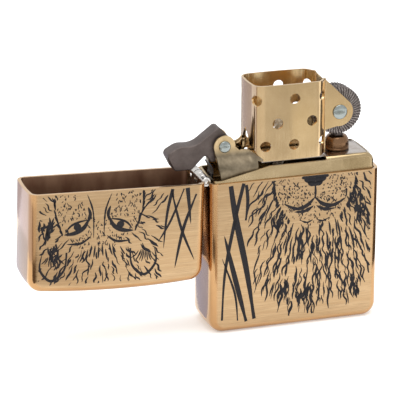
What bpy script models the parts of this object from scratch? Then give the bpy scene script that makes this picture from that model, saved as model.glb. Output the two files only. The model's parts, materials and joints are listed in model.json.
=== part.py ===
"""A flip-top windproof pocket lighter, modelled piece by piece with its lid open.

+X points away from the hinge, +Y to the back and +Z up. The origin is the centre of the case's
flat bottom. Sizes are in millimetres, and each mesh is written in metres.
"""

import math

import bmesh
import bpy
from mathutils import Matrix, Vector

MM = 0.001

# Case and lid: one crowned outline, cut by a level rim.
WIDTH = 38.1
DEPTH = 12.9
CASE_RIM = 33.5
RIM_GAP = 0.1
LID_HEIGHT = 22.15
LID_ARCH = 0.95
WALL = 0.7
END_RADIUS = 3.0
EDGE_RADIUS = 1.8
SIDE_CROWN = 0.4

# Lid hinge: five knuckles on one pin, at the top left corner of the case.
HINGE_X = -19.29
HINGE_Z = 33.73
LID_OPEN = 177.9
KNUCKLE_RADIUS = 1.0
KNUCKLE_BORE = 0.56
PIN_RADIUS = 0.5
KNUCKLE_LENGTH = 1.8
KNUCKLE_PITCH = 1.9
KNUCKLES = 5
LEAF_THICKNESS = 0.3
LEAF_REACH = 9.2
LEAF_HALF = 4.7
LEAF_POCKET = 0.37

# Insert: the fuel chamber that slides into the case.
INSERT_HALF_WIDTH = 18.1
INSERT_HALF_DEPTH = 5.6
INSERT_LOW = 2.4
INSERT_TOP = 36.9
INSERT_WALL = 0.45
INSERT_CORNER = 1.9
LIP = 0.8
LIP_LOW = 36.2
SLOT_END = 7.0
LOW_SIDE_START = -5.6
LOW_SIDE_END = -16.1
LOW_SIDE_Z = 33.95
PLATE_THICKNESS = 0.5
PLATE_GAP = 0.1
PLATE_LEFT = -6.9
PLATE_NARROW = 4.0
MOUTH_LEDGE = 0.6

# Chimney and the ears that its sheet carries.
SHEET = 0.45
CHIMNEY_LOW = 37.15
CHIMNEY_BACK_LOW = 36.4
CHIMNEY_TOP = 53.5
CHIMNEY_LEFT = -8.9
CHIMNEY_RIGHT = 6.4
CHIMNEY_HALF_DEPTH = 5.2
FRONT_BOW = 0.35
END_BOW = 0.4
BOW_MIDDLE = -1.2
LEFT_BEND = 2.0
RIGHT_BEND = 1.5
EAR_BEND = 0.55
EAR_OUTER = 3.0
EAR_START = 7.6
EAR_TOP = 53.0
EAR_FOOT = 42.1
HOLE_RADIUS = 1.15

# Rows of holes: their height, the places in the flat walls, and (place, way) in the bends.
LEFT_CORNER = (-8.05, -1)
RIGHT_CORNER = (6.2, 1)
HOLE_ROWS = (
    (50.3, (-0.2,), (LEFT_CORNER, RIGHT_CORNER)),
    (45.2, (-3.9, 3.7), ()),
    (40.4, (-6.5, -0.3), (RIGHT_CORNER,)),
)

# Striker wheel, its rivet and the flint tube below it.
WHEEL_X = 10.75
WHEEL_Z = 45.75
WHEEL_RADIUS = 5.25
WHEEL_HALF = 2.25
WHEEL_PIN = 0.7
RUNNING = 0.06
WHEEL_HEAD = 1.6
EAR_NOSE = 3.05
TUBE_X = 11.3
TUBE_RADIUS = 2.05
TUBE_BORE = 1.3
TUBE_TOP = 39.95
TUBE_LOW = 5.2
COLLAR_RADIUS = 2.6
COLLAR_TOP = 37.9
FLINT_RADIUS = 1.2
FLINT_LENGTH = 5.6
FLINT_TOP = 40.3
SPRING_WIRE = 0.18
SPRING_TURNS = 12
SCREW_HEAD = 2.3
SCREW_LOW = 2.6
SCREW_SHANK_TOP = 9.0

# Cam, its rivet and its leaf spring.
CAM_X = -14.75
CAM_Z = 40.5
CAM_HALF = 1.95
CAM_PIN = 0.6
CAM_HEAD = 1.27
CAM_EYE = 2.35
PLATE_DOME = (-10.6, 36.0)
PLATE_DOME_RADIUS = 3.5
PLATE_FLARE = 1.95
PLATE_FLARE_TOP = 39.1
PLATE_FLARE_LOW = 35.8
PLATE_SEAM = (-9.6, -7.4)
PLATE_SEAM_TOP = 39.9
PLATE_SEAM_FLARE = 2.12
CAM_SPRING_THICKNESS = 0.25
CAM_SPRING_HALF = 1.6
SPRING_RIVET_Z = 25.0

# Soft pieces inside the insert.
PACKING_HALF_DEPTH = 4.6
WICK_RADIUS = 1.25
WICK_X = -1.5
WICK_TOP = 46.5
WICK_LOW = 7.5
FELT_LOW = 2.8
FELT_TOP = 4.8

ARC_STEPS = 4
ROUND_STEPS = 24


def clear_scene():
    for item in list(bpy.data.objects):
        bpy.data.objects.remove(item)


def make_material(name, colour, roughness, metallic):
    made = bpy.data.materials.new(name)
    made.use_nodes = True
    shader = made.node_tree.nodes["Principled BSDF"]
    shader.inputs["Base Color"].default_value = (*colour, 1.0)
    shader.inputs["Roughness"].default_value = roughness
    shader.inputs["Metallic"].default_value = metallic
    return made


def add_mesh(name, bm, material=None):
    """An object from a bmesh in millimetres. With no material it is a helper that no render shows."""
    bmesh.ops.scale(bm, vec=(MM, MM, MM), verts=bm.verts)
    bmesh.ops.recalc_face_normals(bm, faces=bm.faces)
    mesh = bpy.data.meshes.new(name)
    bm.to_mesh(mesh)
    bm.free()
    mesh.shade_smooth()
    mesh.set_sharp_from_angle(angle=math.radians(30))
    made = bpy.data.objects.new(name, mesh)
    bpy.context.scene.collection.objects.link(made)
    if material:
        mesh.materials.append(material)
    else:
        made.hide_render = True
        made.display_type = "WIRE"
    return made


def loft(name, rings, material=None, ring_shaped=False):
    """A closed body through rings of equal count, capped at its ends unless the last ring meets the first."""
    bm = bmesh.new()
    rows = [[bm.verts.new(point) for point in ring] for ring in rings]
    pairs = list(zip(rows, rows[1:]))
    if ring_shaped:
        pairs.append((rows[-1], rows[0]))
    else:
        bm.faces.new(rows[0])
        bm.faces.new(rows[-1])
    for first, second in pairs:
        for i in range(len(first)):
            j = (i + 1) % len(first)
            bm.faces.new((first[i], first[j], second[j], second[i]))
    return add_mesh(name, bm, material)


def extrude(name, outline, axis, low, high, material=None):
    """A prism along an axis. The outline is (x, z) for Y, (x, y) for Z and (y, z) for X."""
    place = {
        "X": lambda u, v, t: (t, u, v),
        "Y": lambda u, v, t: (u, t, v),
        "Z": lambda u, v, t: (u, v, t),
    }[axis]
    return loft(name, [[place(u, v, t) for u, v in outline] for t in (low, high)], material)


def box(name, low, high, material=None):
    outline = [(low[0], low[2]), (high[0], low[2]), (high[0], high[2]), (low[0], high[2])]
    return extrude(name, outline, "Y", low[1], high[1], material)


def square(z, half):
    """A square (y, z) outline about the middle plane."""
    return [(-half, z - half), (half, z - half), (half, z + half), (-half, z + half)]


def turned(name, profile, centre, axis, material=None, bored=False, steps=ROUND_STEPS):
    """A turned body from (radius, height) points along an axis through centre."""
    frame = {"Y": Matrix.Rotation(math.radians(-90), 3, "X"), "Z": Matrix.Identity(3)}[axis]
    rings = []
    for radius, height in profile:
        ring = []
        for k in range(steps):
            angle = 2 * math.pi * k / steps
            local = Vector((radius * math.cos(angle), radius * math.sin(angle), height))
            ring.append(Vector(centre) + frame @ local)
        rings.append(ring)
    return loft(name, rings, material, ring_shaped=bored)


def rounded(corners, steps=ARC_STEPS, closed=True):
    """Points along a 2-D outline whose (u, v, radius) corners are rounded by arcs."""
    points = []
    last = len(corners) - 1
    for i, (u, v, radius) in enumerate(corners):
        here = Vector((u, v))
        if radius == 0 or (not closed and i in (0, last)):
            points.append(here)
            continue
        before = (Vector(corners[i - 1][:2]) - here).normalized()
        after = (Vector(corners[(i + 1) % len(corners)][:2]) - here).normalized()
        half = before.angle(after) / 2
        centre = here + (before + after).normalized() * (radius / math.sin(half))
        reach = radius / math.tan(half)
        start = here + before * reach - centre
        end = here + after * reach - centre
        sweep = math.atan2(start.x * end.y - start.y * end.x, start.dot(end))
        for k in range(steps + 1):
            angle = sweep * k / steps
            turned_start = Matrix.Rotation(angle, 2) @ start
            points.append(centre + turned_start)
    return points


def arc(centre, radius, first, last, steps):
    """Points of a circle in degrees from first to last."""
    found = []
    for k in range(steps + 1):
        angle = math.radians(first + (last - first) * k / steps)
        found.append((centre[0] + radius * math.cos(angle), centre[1] + radius * math.sin(angle)))
    return found


def sheet_outline(path, thickness):
    """The outline of a bent sheet: a middle line, offset to both sides."""
    left, right = [], []
    for i, point in enumerate(path):
        before = path[max(i - 1, 0)]
        after = path[min(i + 1, len(path) - 1)]
        along = (after - before).normalized()
        side = Vector((-along.y, along.x)) * thickness / 2
        left.append(point + side)
        right.append(point - side)
    return left + right[::-1]


def boolean(body, other, operation):
    step = body.modifiers.new(other.name, "BOOLEAN")
    step.operation = operation
    step.object = other
    return other


def cut(body, cutter):
    return boolean(body, cutter, "DIFFERENCE")


def fuse(body, piece):
    return boolean(body, piece, "UNION")


def joint_axis(name, place):
    """An empty on a joint's axis, which carries the pieces that turn about it."""
    made = bpy.data.objects.new(name, None)
    made.location = Vector(place) * MM
    bpy.context.scene.collection.objects.link(made)
    return made


def hang(carrier, *pieces):
    for piece in pieces:
        piece.parent = carrier
        piece.matrix_parent_inverse = Matrix.Translation(-carrier.location)


def tub(name, half_width, half_depth, floor, rim, corner, edge, arch, material=None):
    """A crowned box closed at floor and cut level at rim, which may be above it or below it."""
    way = 1 if rim > floor else -1
    flat = half_depth - edge
    stations = [flat * k / 2 for k in (-2, -1, 0, 1, 2)]
    turn = [edge * math.sin(math.pi / 2 * k / ARC_STEPS) for k in range(1, ARC_STEPS + 1)]
    stations = [-flat - t for t in reversed(turn)] + stations + [flat + t for t in turn]
    rings = []
    for y in stations:
        over = min(max(0.0, abs(y) - flat), edge)
        inset = edge - math.sqrt(edge**2 - over**2)
        half = half_width - SIDE_CROWN * (y / half_depth) ** 2 - inset
        reach = abs(rim - floor)
        floor_points = [(half * k / 5, inset + arch * (k / 5) ** 2, 0) for k in range(-3, 4)]
        corners = [(-half, reach, 0), (-half, inset + arch, corner - inset)]
        corners += floor_points if arch else []
        corners += [(half, inset + arch, corner - inset), (half, reach, 0)]
        rings.append([(u, y, floor + way * v) for u, v in rounded(corners)])
    return loft(name, rings, material)


def make_shell(name, half_width, half_depth, floor, rim, corner, edge, arch, wall, material):
    """A tub with its hollow cut out. Returns the shell and the cutter."""
    way = 1 if rim > floor else -1
    body = tub(name, half_width, half_depth, floor, rim, corner, edge, arch, material)
    hollow = tub(
        name + "_hollow",
        half_width - wall,
        half_depth - wall,
        floor + way * wall,
        rim + way * 3,
        corner - wall,
        max(edge - wall, 0.3),
        arch,
    )
    return body, cut(body, hollow)


def knuckle(name, index, material=None):
    middle = (index - (KNUCKLES - 1) / 2) * KNUCKLE_PITCH
    half = KNUCKLE_LENGTH / 2
    profile = [
        (KNUCKLE_RADIUS, -half),
        (KNUCKLE_RADIUS, half),
        (KNUCKLE_BORE, half),
        (KNUCKLE_BORE, -half),
    ]
    return turned(name, profile, (HINGE_X, middle, HINGE_Z), "Y", material, bored=True)


def make_leaf(name, way, held, material):
    """A hinge leaf inside the wall: way is -1 for the case's, which runs down, and 1 for the lid's."""
    wall_face = -WIDTH / 2 + WALL
    outer = wall_face - LEAF_THICKNESS - 0.05
    start = HINGE_Z + way * (KNUCKLE_RADIUS + 0.15)
    end = HINGE_Z + way * LEAF_REACH
    corners = [(-LEAF_HALF, start, 0), (LEAF_HALF, start, 0), (LEAF_HALF, end, 1.2), (-LEAF_HALF, end, 1.2)]
    leaf = extrude(name, rounded(corners), "X", outer, outer + LEAF_THICKNESS, material)
    helpers = []
    for index in held:
        middle = (index - (KNUCKLES - 1) / 2) * KNUCKLE_PITCH
        half = KNUCKLE_LENGTH / 2
        ends = sorted((HINGE_Z + way * 0.05, start + way * 0.4))
        finger = box(
            f"{name}_finger_{index}",
            (outer, middle - half, ends[0]),
            (outer + LEAF_THICKNESS, middle + half, ends[1]),
        )
        helpers.append(fuse(leaf, finger))
        helpers.append(fuse(leaf, knuckle(f"{name}_knuckle_{index}", index)))
    return leaf, helpers


def hinge_clearance(name, way):
    """The notch for the knuckles and the shallow pocket for a leaf, as one cutter."""
    wall_face = -WIDTH / 2 + WALL
    notch_end = HINGE_Z + way * (KNUCKLE_RADIUS + 0.2)
    past_rim = HINGE_Z - way * 2
    low, high = sorted((notch_end, past_rim))
    notch = box(name, (-WIDTH / 2 - 2, -LEAF_HALF - 0.15, low), (wall_face + 1, LEAF_HALF + 0.15, high))
    low, high = sorted((past_rim, HINGE_Z + way * (LEAF_REACH + 0.1)))
    pocket = box(
        name + "_pocket",
        (wall_face - LEAF_POCKET, -LEAF_HALF - 0.1, low),
        (wall_face + 1, LEAF_HALF + 0.1, high),
    )
    return notch, pocket


def make_case(brass, steel):
    case, _ = make_shell(
        "case_shell", WIDTH / 2, DEPTH / 2, 0, CASE_RIM, END_RADIUS, EDGE_RADIUS, 0, WALL, brass
    )
    for cutter in hinge_clearance("case_notch", -1):
        cut(case, cutter)
    make_leaf("case_hinge_leaf", -1, (0, 2, 4), steel)
    half = KNUCKLE_PITCH * (KNUCKLES - 1) / 2 + KNUCKLE_LENGTH / 2
    profile = [(PIN_RADIUS - 0.1, -half), (PIN_RADIUS, -half + 0.1)]
    profile += [(PIN_RADIUS, half - 0.1), (PIN_RADIUS - 0.1, half)]
    turned("hinge_pin", profile, (HINGE_X, 0, HINGE_Z), "Y", steel, steps=16)


def make_lid(brass, steel):
    rim = CASE_RIM + RIM_GAP
    lid, hollow = make_shell(
        "lid_shell",
        WIDTH / 2,
        DEPTH / 2,
        rim + LID_HEIGHT,
        rim,
        END_RADIUS,
        EDGE_RADIUS,
        LID_ARCH,
        WALL,
        brass,
    )
    cutters = [cut(lid, cutter) for cutter in hinge_clearance("lid_notch", 1)]
    leaf, helpers = make_leaf("lid_hinge_leaf", 1, (1, 3), steel)
    axis = joint_axis("lid_hinge_axis", (HINGE_X, 0, HINGE_Z))
    hang(axis, lid, hollow, leaf, *cutters, *helpers)
    axis.rotation_euler.y = -math.radians(LID_OPEN)


def make_insert_shell(brass):
    shell, _ = make_shell(
        "insert_shell",
        INSERT_HALF_WIDTH,
        INSERT_HALF_DEPTH,
        INSERT_TOP,
        INSERT_LOW,
        INSERT_CORNER,
        LIP,
        0,
        INSERT_WALL,
        brass,
    )
    # The top is open inside its rolled lip, and lower in front of the chimney and towards the cam.
    mouth_x = INSERT_HALF_WIDTH - LIP - MOUTH_LEDGE
    mouth_y = INSERT_HALF_DEPTH - LIP
    mouth = [(-30, -mouth_y, 0), (mouth_x, -mouth_y, 1.2), (mouth_x, mouth_y, 1.2), (-30, mouth_y, 0)]
    cut(shell, extrude("insert_mouth", rounded(mouth), "Z", LIP_LOW - 1, INSERT_TOP + 2))
    low_side = [
        (SLOT_END, LIP_LOW, 0.35),
        (LOW_SIDE_START, LIP_LOW, 2.5),
        (LOW_SIDE_END, LOW_SIDE_Z, 1.0),
        (-25, LOW_SIDE_Z, 0),
        (-25, 45, 0),
        (SLOT_END, 45, 0),
    ]
    cut(shell, extrude("insert_low_side", rounded(low_side), "Y", -9, 9))


def make_top_plate(brass):
    """The plate inside the lip: wide beside the chimney and narrow under it."""
    end = INSERT_HALF_WIDTH - LIP - MOUTH_LEDGE - PLATE_GAP
    wide = INSERT_HALF_DEPTH - LIP - PLATE_GAP
    step = SLOT_END + 0.1
    top = INSERT_TOP - 0.1
    outline = [
        (PLATE_LEFT, -PLATE_NARROW, 0.6),
        (step, -PLATE_NARROW, 0),
        (step, -wide, 0),
        (end, -wide, 1.1),
        (end, wide, 1.1),
        (step, wide, 0),
        (step, PLATE_NARROW, 0),
        (PLATE_LEFT, PLATE_NARROW, 0.6),
    ]
    plate = extrude("top_plate", rounded(outline), "Z", top - PLATE_THICKNESS, top, brass)
    for name, x, radius in (("wick", WICK_X, WICK_RADIUS + 0.3), ("tube", TUBE_X, TUBE_RADIUS + 0.1)):
        hole = [(radius, top - 2), (radius, top + 2)]
        cut(plate, turned(f"{name}_hole", hole, (x, 0, 0), "Z"))


def ear_outline():
    """Where the wheel ears are trimmed: everything past the chimney but the two ears."""
    nose = (WHEEL_X - 0.1, WHEEL_Z - 0.1)
    keep = arc(nose, EAR_NOSE, 42, -100, 12)
    trimmed = [(EAR_START, EAR_TOP), *keep, (EAR_START, EAR_FOOT)]
    return trimmed + [(EAR_START, 30), (25, 30), (25, 60), (EAR_START, 60)]


def cam_plate_outline(necked):
    """A cam plate: an eye round the rivet, a domed foot inside the insert, and a seam to the chimney."""
    eye = arc((CAM_X, CAM_Z), CAM_EYE, 192, -4, 14)
    dome = arc(PLATE_DOME, PLATE_DOME_RADIUS, 104, 40, 7)
    seam = [(-6.7, 38.2), (-6.7, 37.3), (-8.0, 37.3), (-8.0, 31.5)]
    if necked:
        # The back plate also runs up to the chimney's left end in a fillet.
        eye = arc((CAM_X, CAM_Z), CAM_EYE, 192, 20, 12)
        fillet = arc((-11.2, 42.1), 2.4, 265, 340, 5)
        dome = [*fillet, (-8.9, 43.6), (-8.5, 43.6), (-8.5, 38.8), dome[-1]]
    return [(-15.5, 31.5), *eye, *dome, *seam]


def smooth(share):
    share = min(max(share, 0.0), 1.0)
    return share * share * (3 - 2 * share)


def flare_out(plate, side):
    """Bulges a flat cam plate outwards, low down towards the insert's wall and across to the chimney's."""
    bm = bmesh.new()
    bm.from_mesh(plate.data)
    cuts = [((0, 0, z), (0, 0, 1)) for z in (35.8, 36.5, 37.2, 37.9, 38.6, 39.1, 39.9)]
    cuts += [((x, 0, 0), (1, 0, 0)) for x in (-9.6, -9.0, -8.4, -7.8)]
    for place, normal in cuts:
        bmesh.ops.bisect_plane(
            bm,
            geom=[*bm.verts, *bm.edges, *bm.faces],
            dist=1e-7,
            plane_co=Vector(place) * MM,
            plane_no=normal,
        )
    bmesh.ops.triangulate(bm, faces=bm.faces)
    for vert in bm.verts:
        x, z = vert.co.x / MM, vert.co.z / MM
        down = smooth((PLATE_FLARE_TOP - z) / (PLATE_FLARE_TOP - PLATE_FLARE_LOW))
        across = smooth((x - PLATE_SEAM[0]) / (PLATE_SEAM[1] - PLATE_SEAM[0]))
        across *= smooth(PLATE_SEAM_TOP - z)
        low_reach = PLATE_FLARE * down
        vert.co.y += side * (low_reach + (PLATE_SEAM_FLARE - low_reach) * across) * MM
    bm.to_mesh(plate.data)
    bm.free()


def chimney_path():
    """The sheet's middle line in plan, from one wheel ear round to the other."""
    mid = SHEET / 2
    depth = CHIMNEY_HALF_DEPTH - mid
    ear = EAR_OUTER - mid
    left = CHIMNEY_LEFT + mid
    right = CHIMNEY_RIGHT
    front = [
        (14.5, -ear, 0),
        (right + 0.85, -ear, EAR_BEND),
        (right - 0.75, -depth, RIGHT_BEND),
        (BOW_MIDDLE, -depth - FRONT_BOW, 40),
        (left, -depth, LEFT_BEND),
    ]
    back = [(x, -y, radius) for x, y, radius in reversed(front)]
    return rounded([*front, (left - END_BOW, 0, 25), *back], steps=6, closed=False)


def make_chimney(brass):
    frame = extrude(
        "chimney_frame", sheet_outline(chimney_path(), SHEET), "Z", CHIMNEY_BACK_LOW, CHIMNEY_TOP, brass
    )
    # Only the back wall's middle reaches down to the insert's lip.
    cut(frame, box("front_foot", (-20, -9, 30), (20, 3.4, CHIMNEY_LOW)))
    cut(frame, box("right_foot", (5.0, -9, 30), (20, 9, CHIMNEY_LOW)))
    cut(frame, extrude("ear_trim", ear_outline(), "Y", -9, 9))
    arch = [(-2.3, 30), (2.3, 30), (2.3, 40.6), (1.3, 42.1), (0, 43.5), (-1.3, 42.1), (-2.3, 40.6)]
    cut(frame, extrude("cam_slot", arch, "X", -12, -5))
    for side, name in ((-1, "front"), (1, "back")):
        corner = [(-12, 36), (-7.0, 36), (-7.0, 37.7), (-8.0, 38.6), (-8.6, 40.0), (-12, 40.4)]
        ends = sorted((side * (EAR_OUTER + 0.05), side * 9))
        cut(frame, extrude(f"corner_relief_{name}", corner, "Y", *ends))
    for side, name in ((-1, "front"), (1, "back")):
        ends = sorted((side * EAR_OUTER, side * (EAR_OUTER - SHEET)))
        plate = extrude(f"cam_plate_{name}", cam_plate_outline(side == 1), "Y", *ends)
        flare_out(plate, side)
        fuse(frame, plate)
    for row, (z, places, corners) in enumerate(HOLE_ROWS):
        for column, x in enumerate(places):
            hole = [(HOLE_RADIUS, -9), (HOLE_RADIUS, 9)]
            cut(frame, turned(f"hole_{row}_{column}", hole, (x, 0, z), "Y", steps=16))
        for column, (x, way) in enumerate(corners):
            add_corner_holes(frame, f"corner_hole_{row}_{column}", x, z, way)
    for name, x, z, pin in (("wheel", WHEEL_X, WHEEL_Z, WHEEL_PIN), ("cam", CAM_X, CAM_Z, CAM_PIN)):
        hole = [(pin + RUNNING, -9), (pin + RUNNING, 9)]
        cut(frame, turned(f"{name}_pin_hole", hole, (x, 0, z), "Y", steps=16))


def add_corner_holes(frame, name, x, z, way):
    """A hole through a front bend of the sheet and one through its mirror, each cut square to the bend."""
    for side in (-1, 1):
        profile = [(HOLE_RADIUS, -2.2), (HOLE_RADIUS, 2.2)]
        hole = turned(f"{name}_{side}", profile, (0, 0, 0), "Y", steps=16)
        hole.location = Vector((x, side * (CHIMNEY_HALF_DEPTH - 0.75), z)) * MM
        hole.rotation_euler.z = math.radians(-45 * way * side)
        cut(frame, hole)


def domed_rivet(name, x, z, pin, head, material):
    """A rivet across both ears, with a domed head outside each."""
    seat = EAR_OUTER + 0.04
    dome = [(head, seat), (head, seat + 0.2), (head * 0.8, seat + 0.42), (head * 0.4, seat + 0.54)]
    half = [(pin, 0), (pin, seat), *dome]
    profile = [(radius, -height) for radius, height in reversed(half[1:])] + half[1:]
    return turned(name, profile, (x, 0, z), "Y", material)


def make_striker(steel, zinc):
    bore = WHEEL_PIN + RUNNING
    chamfer = 0.35
    profile = [
        (bore, -WHEEL_HALF),
        (WHEEL_RADIUS - chamfer, -WHEEL_HALF),
        (WHEEL_RADIUS, -WHEEL_HALF + chamfer),
        (WHEEL_RADIUS, WHEEL_HALF - chamfer),
        (WHEEL_RADIUS - chamfer, WHEEL_HALF),
        (bore, WHEEL_HALF),
    ]
    wheel = turned("striker_wheel", profile, (WHEEL_X, 0, WHEEL_Z), "Y", steel, bored=True, steps=48)
    hang(joint_axis("striker_axis", (WHEEL_X, 0, WHEEL_Z)), wheel)
    domed_rivet("wheel_rivet", WHEEL_X, WHEEL_Z, WHEEL_PIN, WHEEL_HEAD, zinc)


def cam_outline():
    """The cam with the lid open: a boot-shaped arm over the lid's mouth and a nose above the pivot."""
    corners = [
        (-15.65, 44.6, 0.8),
        (-12.2, 40.9, 1.1),
        (-12.9, 37.9, 1.5),
        (-17.25, 36.95, 0.5),
        (-18.6, 38.75, 0.6),
        (-21.6, 35.75, 0.4),
        (-25.3, 35.75, 0.5),
        (-27.15, 39.4, 0.6),
        (-24.2, 41.0, 2.0),
        (-20.8, 40.75, 3.0),
    ]
    return rounded(corners)


def make_cam(steel, zinc, spring_steel):
    cam = extrude("cam", cam_outline(), "Y", -CAM_HALF, CAM_HALF, steel)
    bore = [(CAM_PIN + RUNNING, -9), (CAM_PIN + RUNNING, 9)]
    hole = cut(cam, turned("cam_bore", bore, (CAM_X, 0, CAM_Z), "Y", steps=16))
    hang(joint_axis("cam_axis", (CAM_X, 0, CAM_Z)), cam, hole)
    domed_rivet("cam_rivet", CAM_X, CAM_Z, CAM_PIN, CAM_HEAD, zinc)

    # The leaf spring stands against the insert's end wall, and its tip presses up on the cam's foot.
    wall_face = -INSERT_HALF_WIDTH + INSERT_WALL
    mid = wall_face + 0.1 + CAM_SPRING_THICKNESS / 2
    path = [(mid, 22, 0), (mid, 32.6, 4), (mid + 0.75, 34.9, 2.0), (mid - 0.2, 36.6, 0)]
    outline = sheet_outline(rounded(path, closed=False), CAM_SPRING_THICKNESS)
    spring = extrude("cam_spring", outline, "Y", -CAM_SPRING_HALF, CAM_SPRING_HALF, spring_steel)
    opening = square(SPRING_RIVET_Z, 0.55)
    cut(spring, extrude("cam_spring_hole", opening, "X", wall_face - 1, wall_face + 2))
    shell = bpy.data.objects["insert_shell"]
    cut(shell, extrude("spring_rivet_hole", opening, "X", wall_face - 1, wall_face + 0.5))
    shank = square(SPRING_RIVET_Z, 0.45)
    outer_end = wall_face - INSERT_WALL + 0.02
    rivet = extrude("cam_spring_rivet", shank, "X", outer_end, wall_face + 0.45, zinc)
    head = square(SPRING_RIVET_Z, 0.9)
    fuse(rivet, extrude("spring_rivet_head", head, "X", wall_face + 0.4, wall_face + 0.7))


def make_flint_train(brass, flint_grey, spring_steel):
    collar_low = INSERT_TOP - 0.05
    profile = [
        (TUBE_RADIUS, TUBE_LOW),
        (TUBE_RADIUS, collar_low),
        (COLLAR_RADIUS, collar_low),
        (COLLAR_RADIUS, COLLAR_TOP),
        (COLLAR_RADIUS - 0.17, COLLAR_TOP + 0.7),
        (COLLAR_RADIUS - 0.42, COLLAR_TOP + 1.3),
        (COLLAR_RADIUS - 0.68, COLLAR_TOP + 1.8),
        (TUBE_BORE + 0.4, TUBE_TOP),
        (TUBE_BORE, TUBE_TOP),
        (TUBE_BORE, TUBE_LOW),
    ]
    turned("flint_tube", profile, (TUBE_X, 0, 0), "Z", brass, bored=True)

    flint_low = FLINT_TOP - FLINT_LENGTH
    profile = [(FLINT_RADIUS, flint_low), (FLINT_RADIUS, FLINT_TOP)]
    flint = turned("flint", profile, (TUBE_X, 0, 0), "Z", flint_grey, steps=16)
    hang(joint_axis("flint_axis", (TUBE_X, 0, flint_low)), flint)

    tip_low = flint_low - 2.2
    tip = [(0.45, tip_low), (0.45, tip_low + 1.2), (1.1, tip_low + 1.2), (1.1, tip_low + 2.1)]
    turned("flint_spring_tip", tip, (TUBE_X, 0, 0), "Z", brass, steps=16)

    low, high = SCREW_SHANK_TOP + 0.3, tip_low + 0.9
    coil = TUBE_BORE - SPRING_WIRE - 0.15
    count = SPRING_TURNS * 10
    points = []
    for k in range(count + 1):
        angle = 2 * math.pi * k / 10
        height = low + (high - low) * k / count
        points.append((TUBE_X + coil * math.cos(angle), coil * math.sin(angle), height))
    add_wire("flint_spring", points, SPRING_WIRE, spring_steel, 1)

    shank = TUBE_BORE - 0.1
    profile = [
        (SCREW_HEAD - 0.2, SCREW_LOW),
        (SCREW_HEAD, SCREW_LOW + 0.2),
        (SCREW_HEAD, SCREW_LOW + 1.3),
        (shank, SCREW_LOW + 1.3),
        (shank, SCREW_SHANK_TOP),
    ]
    screw = turned("flint_screw", profile, (TUBE_X, 0, 0), "Z", brass)
    slot = box("screw_slot", (TUBE_X - 4, -0.3, SCREW_LOW - 1), (TUBE_X + 4, 0.3, SCREW_LOW + 0.6))
    cut(screw, slot)
    hang(joint_axis("flint_screw_axis", (TUBE_X, 0, SCREW_LOW)), screw, slot)


def add_wire(name, points, radius, material, resolution):
    """A round wire or wick along a run of points, with its ends closed."""
    curve = bpy.data.curves.new(name, "CURVE")
    curve.dimensions = "3D"
    curve.bevel_depth = radius * MM
    curve.bevel_resolution = resolution
    curve.use_fill_caps = True
    spline = curve.splines.new("POLY")
    spline.points.add(len(points) - 1)
    for point, place in zip(spline.points, points):
        point.co = (*(Vector(place) * MM), 1.0)
    curve.materials.append(material)
    made = bpy.data.objects.new(name, curve)
    bpy.context.scene.collection.objects.link(made)


def pillow(name, low, high, material):
    """A soft block with well rounded sides, seen along Y, and pinched front and back."""
    radius = 0.38 * min(high[0] - low[0], high[1] - low[1])
    rings = []
    for y, inset in ((-1, 1.2), (-0.8, 0.35), (-0.4, 0), (0.4, 0), (0.8, 0.35), (1, 1.2)):
        corners = [
            (low[0] + inset, low[1] + inset, radius - inset),
            (high[0] - inset, low[1] + inset, radius - inset),
            (high[0] - inset, high[1] - inset, radius - inset),
            (low[0] + inset, high[1] - inset, radius - inset),
        ]
        rings.append([(u, y * PACKING_HALF_DEPTH, v) for u, v in rounded(corners, steps=3)])
    loft(name, rings, material)


def make_soft_pieces(cotton, felt):
    count = 24
    points = []
    for k in range(count + 1):
        share = k / count
        sway = 1.1 * math.sin(2 * math.pi * share) * (1 - share)
        points.append((WICK_X + sway, 0, WICK_LOW + (WICK_TOP - WICK_LOW) * share))
    add_wire("wick", points, WICK_RADIUS, cotton, 2)

    clearance = WICK_RADIUS + 1.1 + 0.3
    left, right = -16.6, TUBE_X - TUBE_RADIUS - 0.3
    middle = 15.2
    sides = (("left", left, WICK_X - clearance), ("right", WICK_X + clearance, right))
    for side, low_x, high_x in sides:
        pillow(f"packing_{side}_lower", (low_x, FELT_TOP + 0.4), (high_x, middle - 0.2), cotton)
        pillow(f"packing_{side}_upper", (low_x, middle + 0.2), (high_x, 29.8), cotton)

    half = INSERT_HALF_WIDTH - INSERT_WALL - 0.4
    deep = INSERT_HALF_DEPTH - INSERT_WALL - 0.3
    corners = [(-half, -deep, 1), (half, -deep, 1), (half, deep, 1), (-half, deep, 1)]
    pad = extrude("felt_pad", rounded(corners), "Z", FELT_LOW, FELT_TOP, felt)
    radius = SCREW_HEAD + 0.3
    cut(pad, turned("felt_hole", [(radius, 0), (radius, 9)], (TUBE_X, 0, 0), "Z"))


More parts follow.
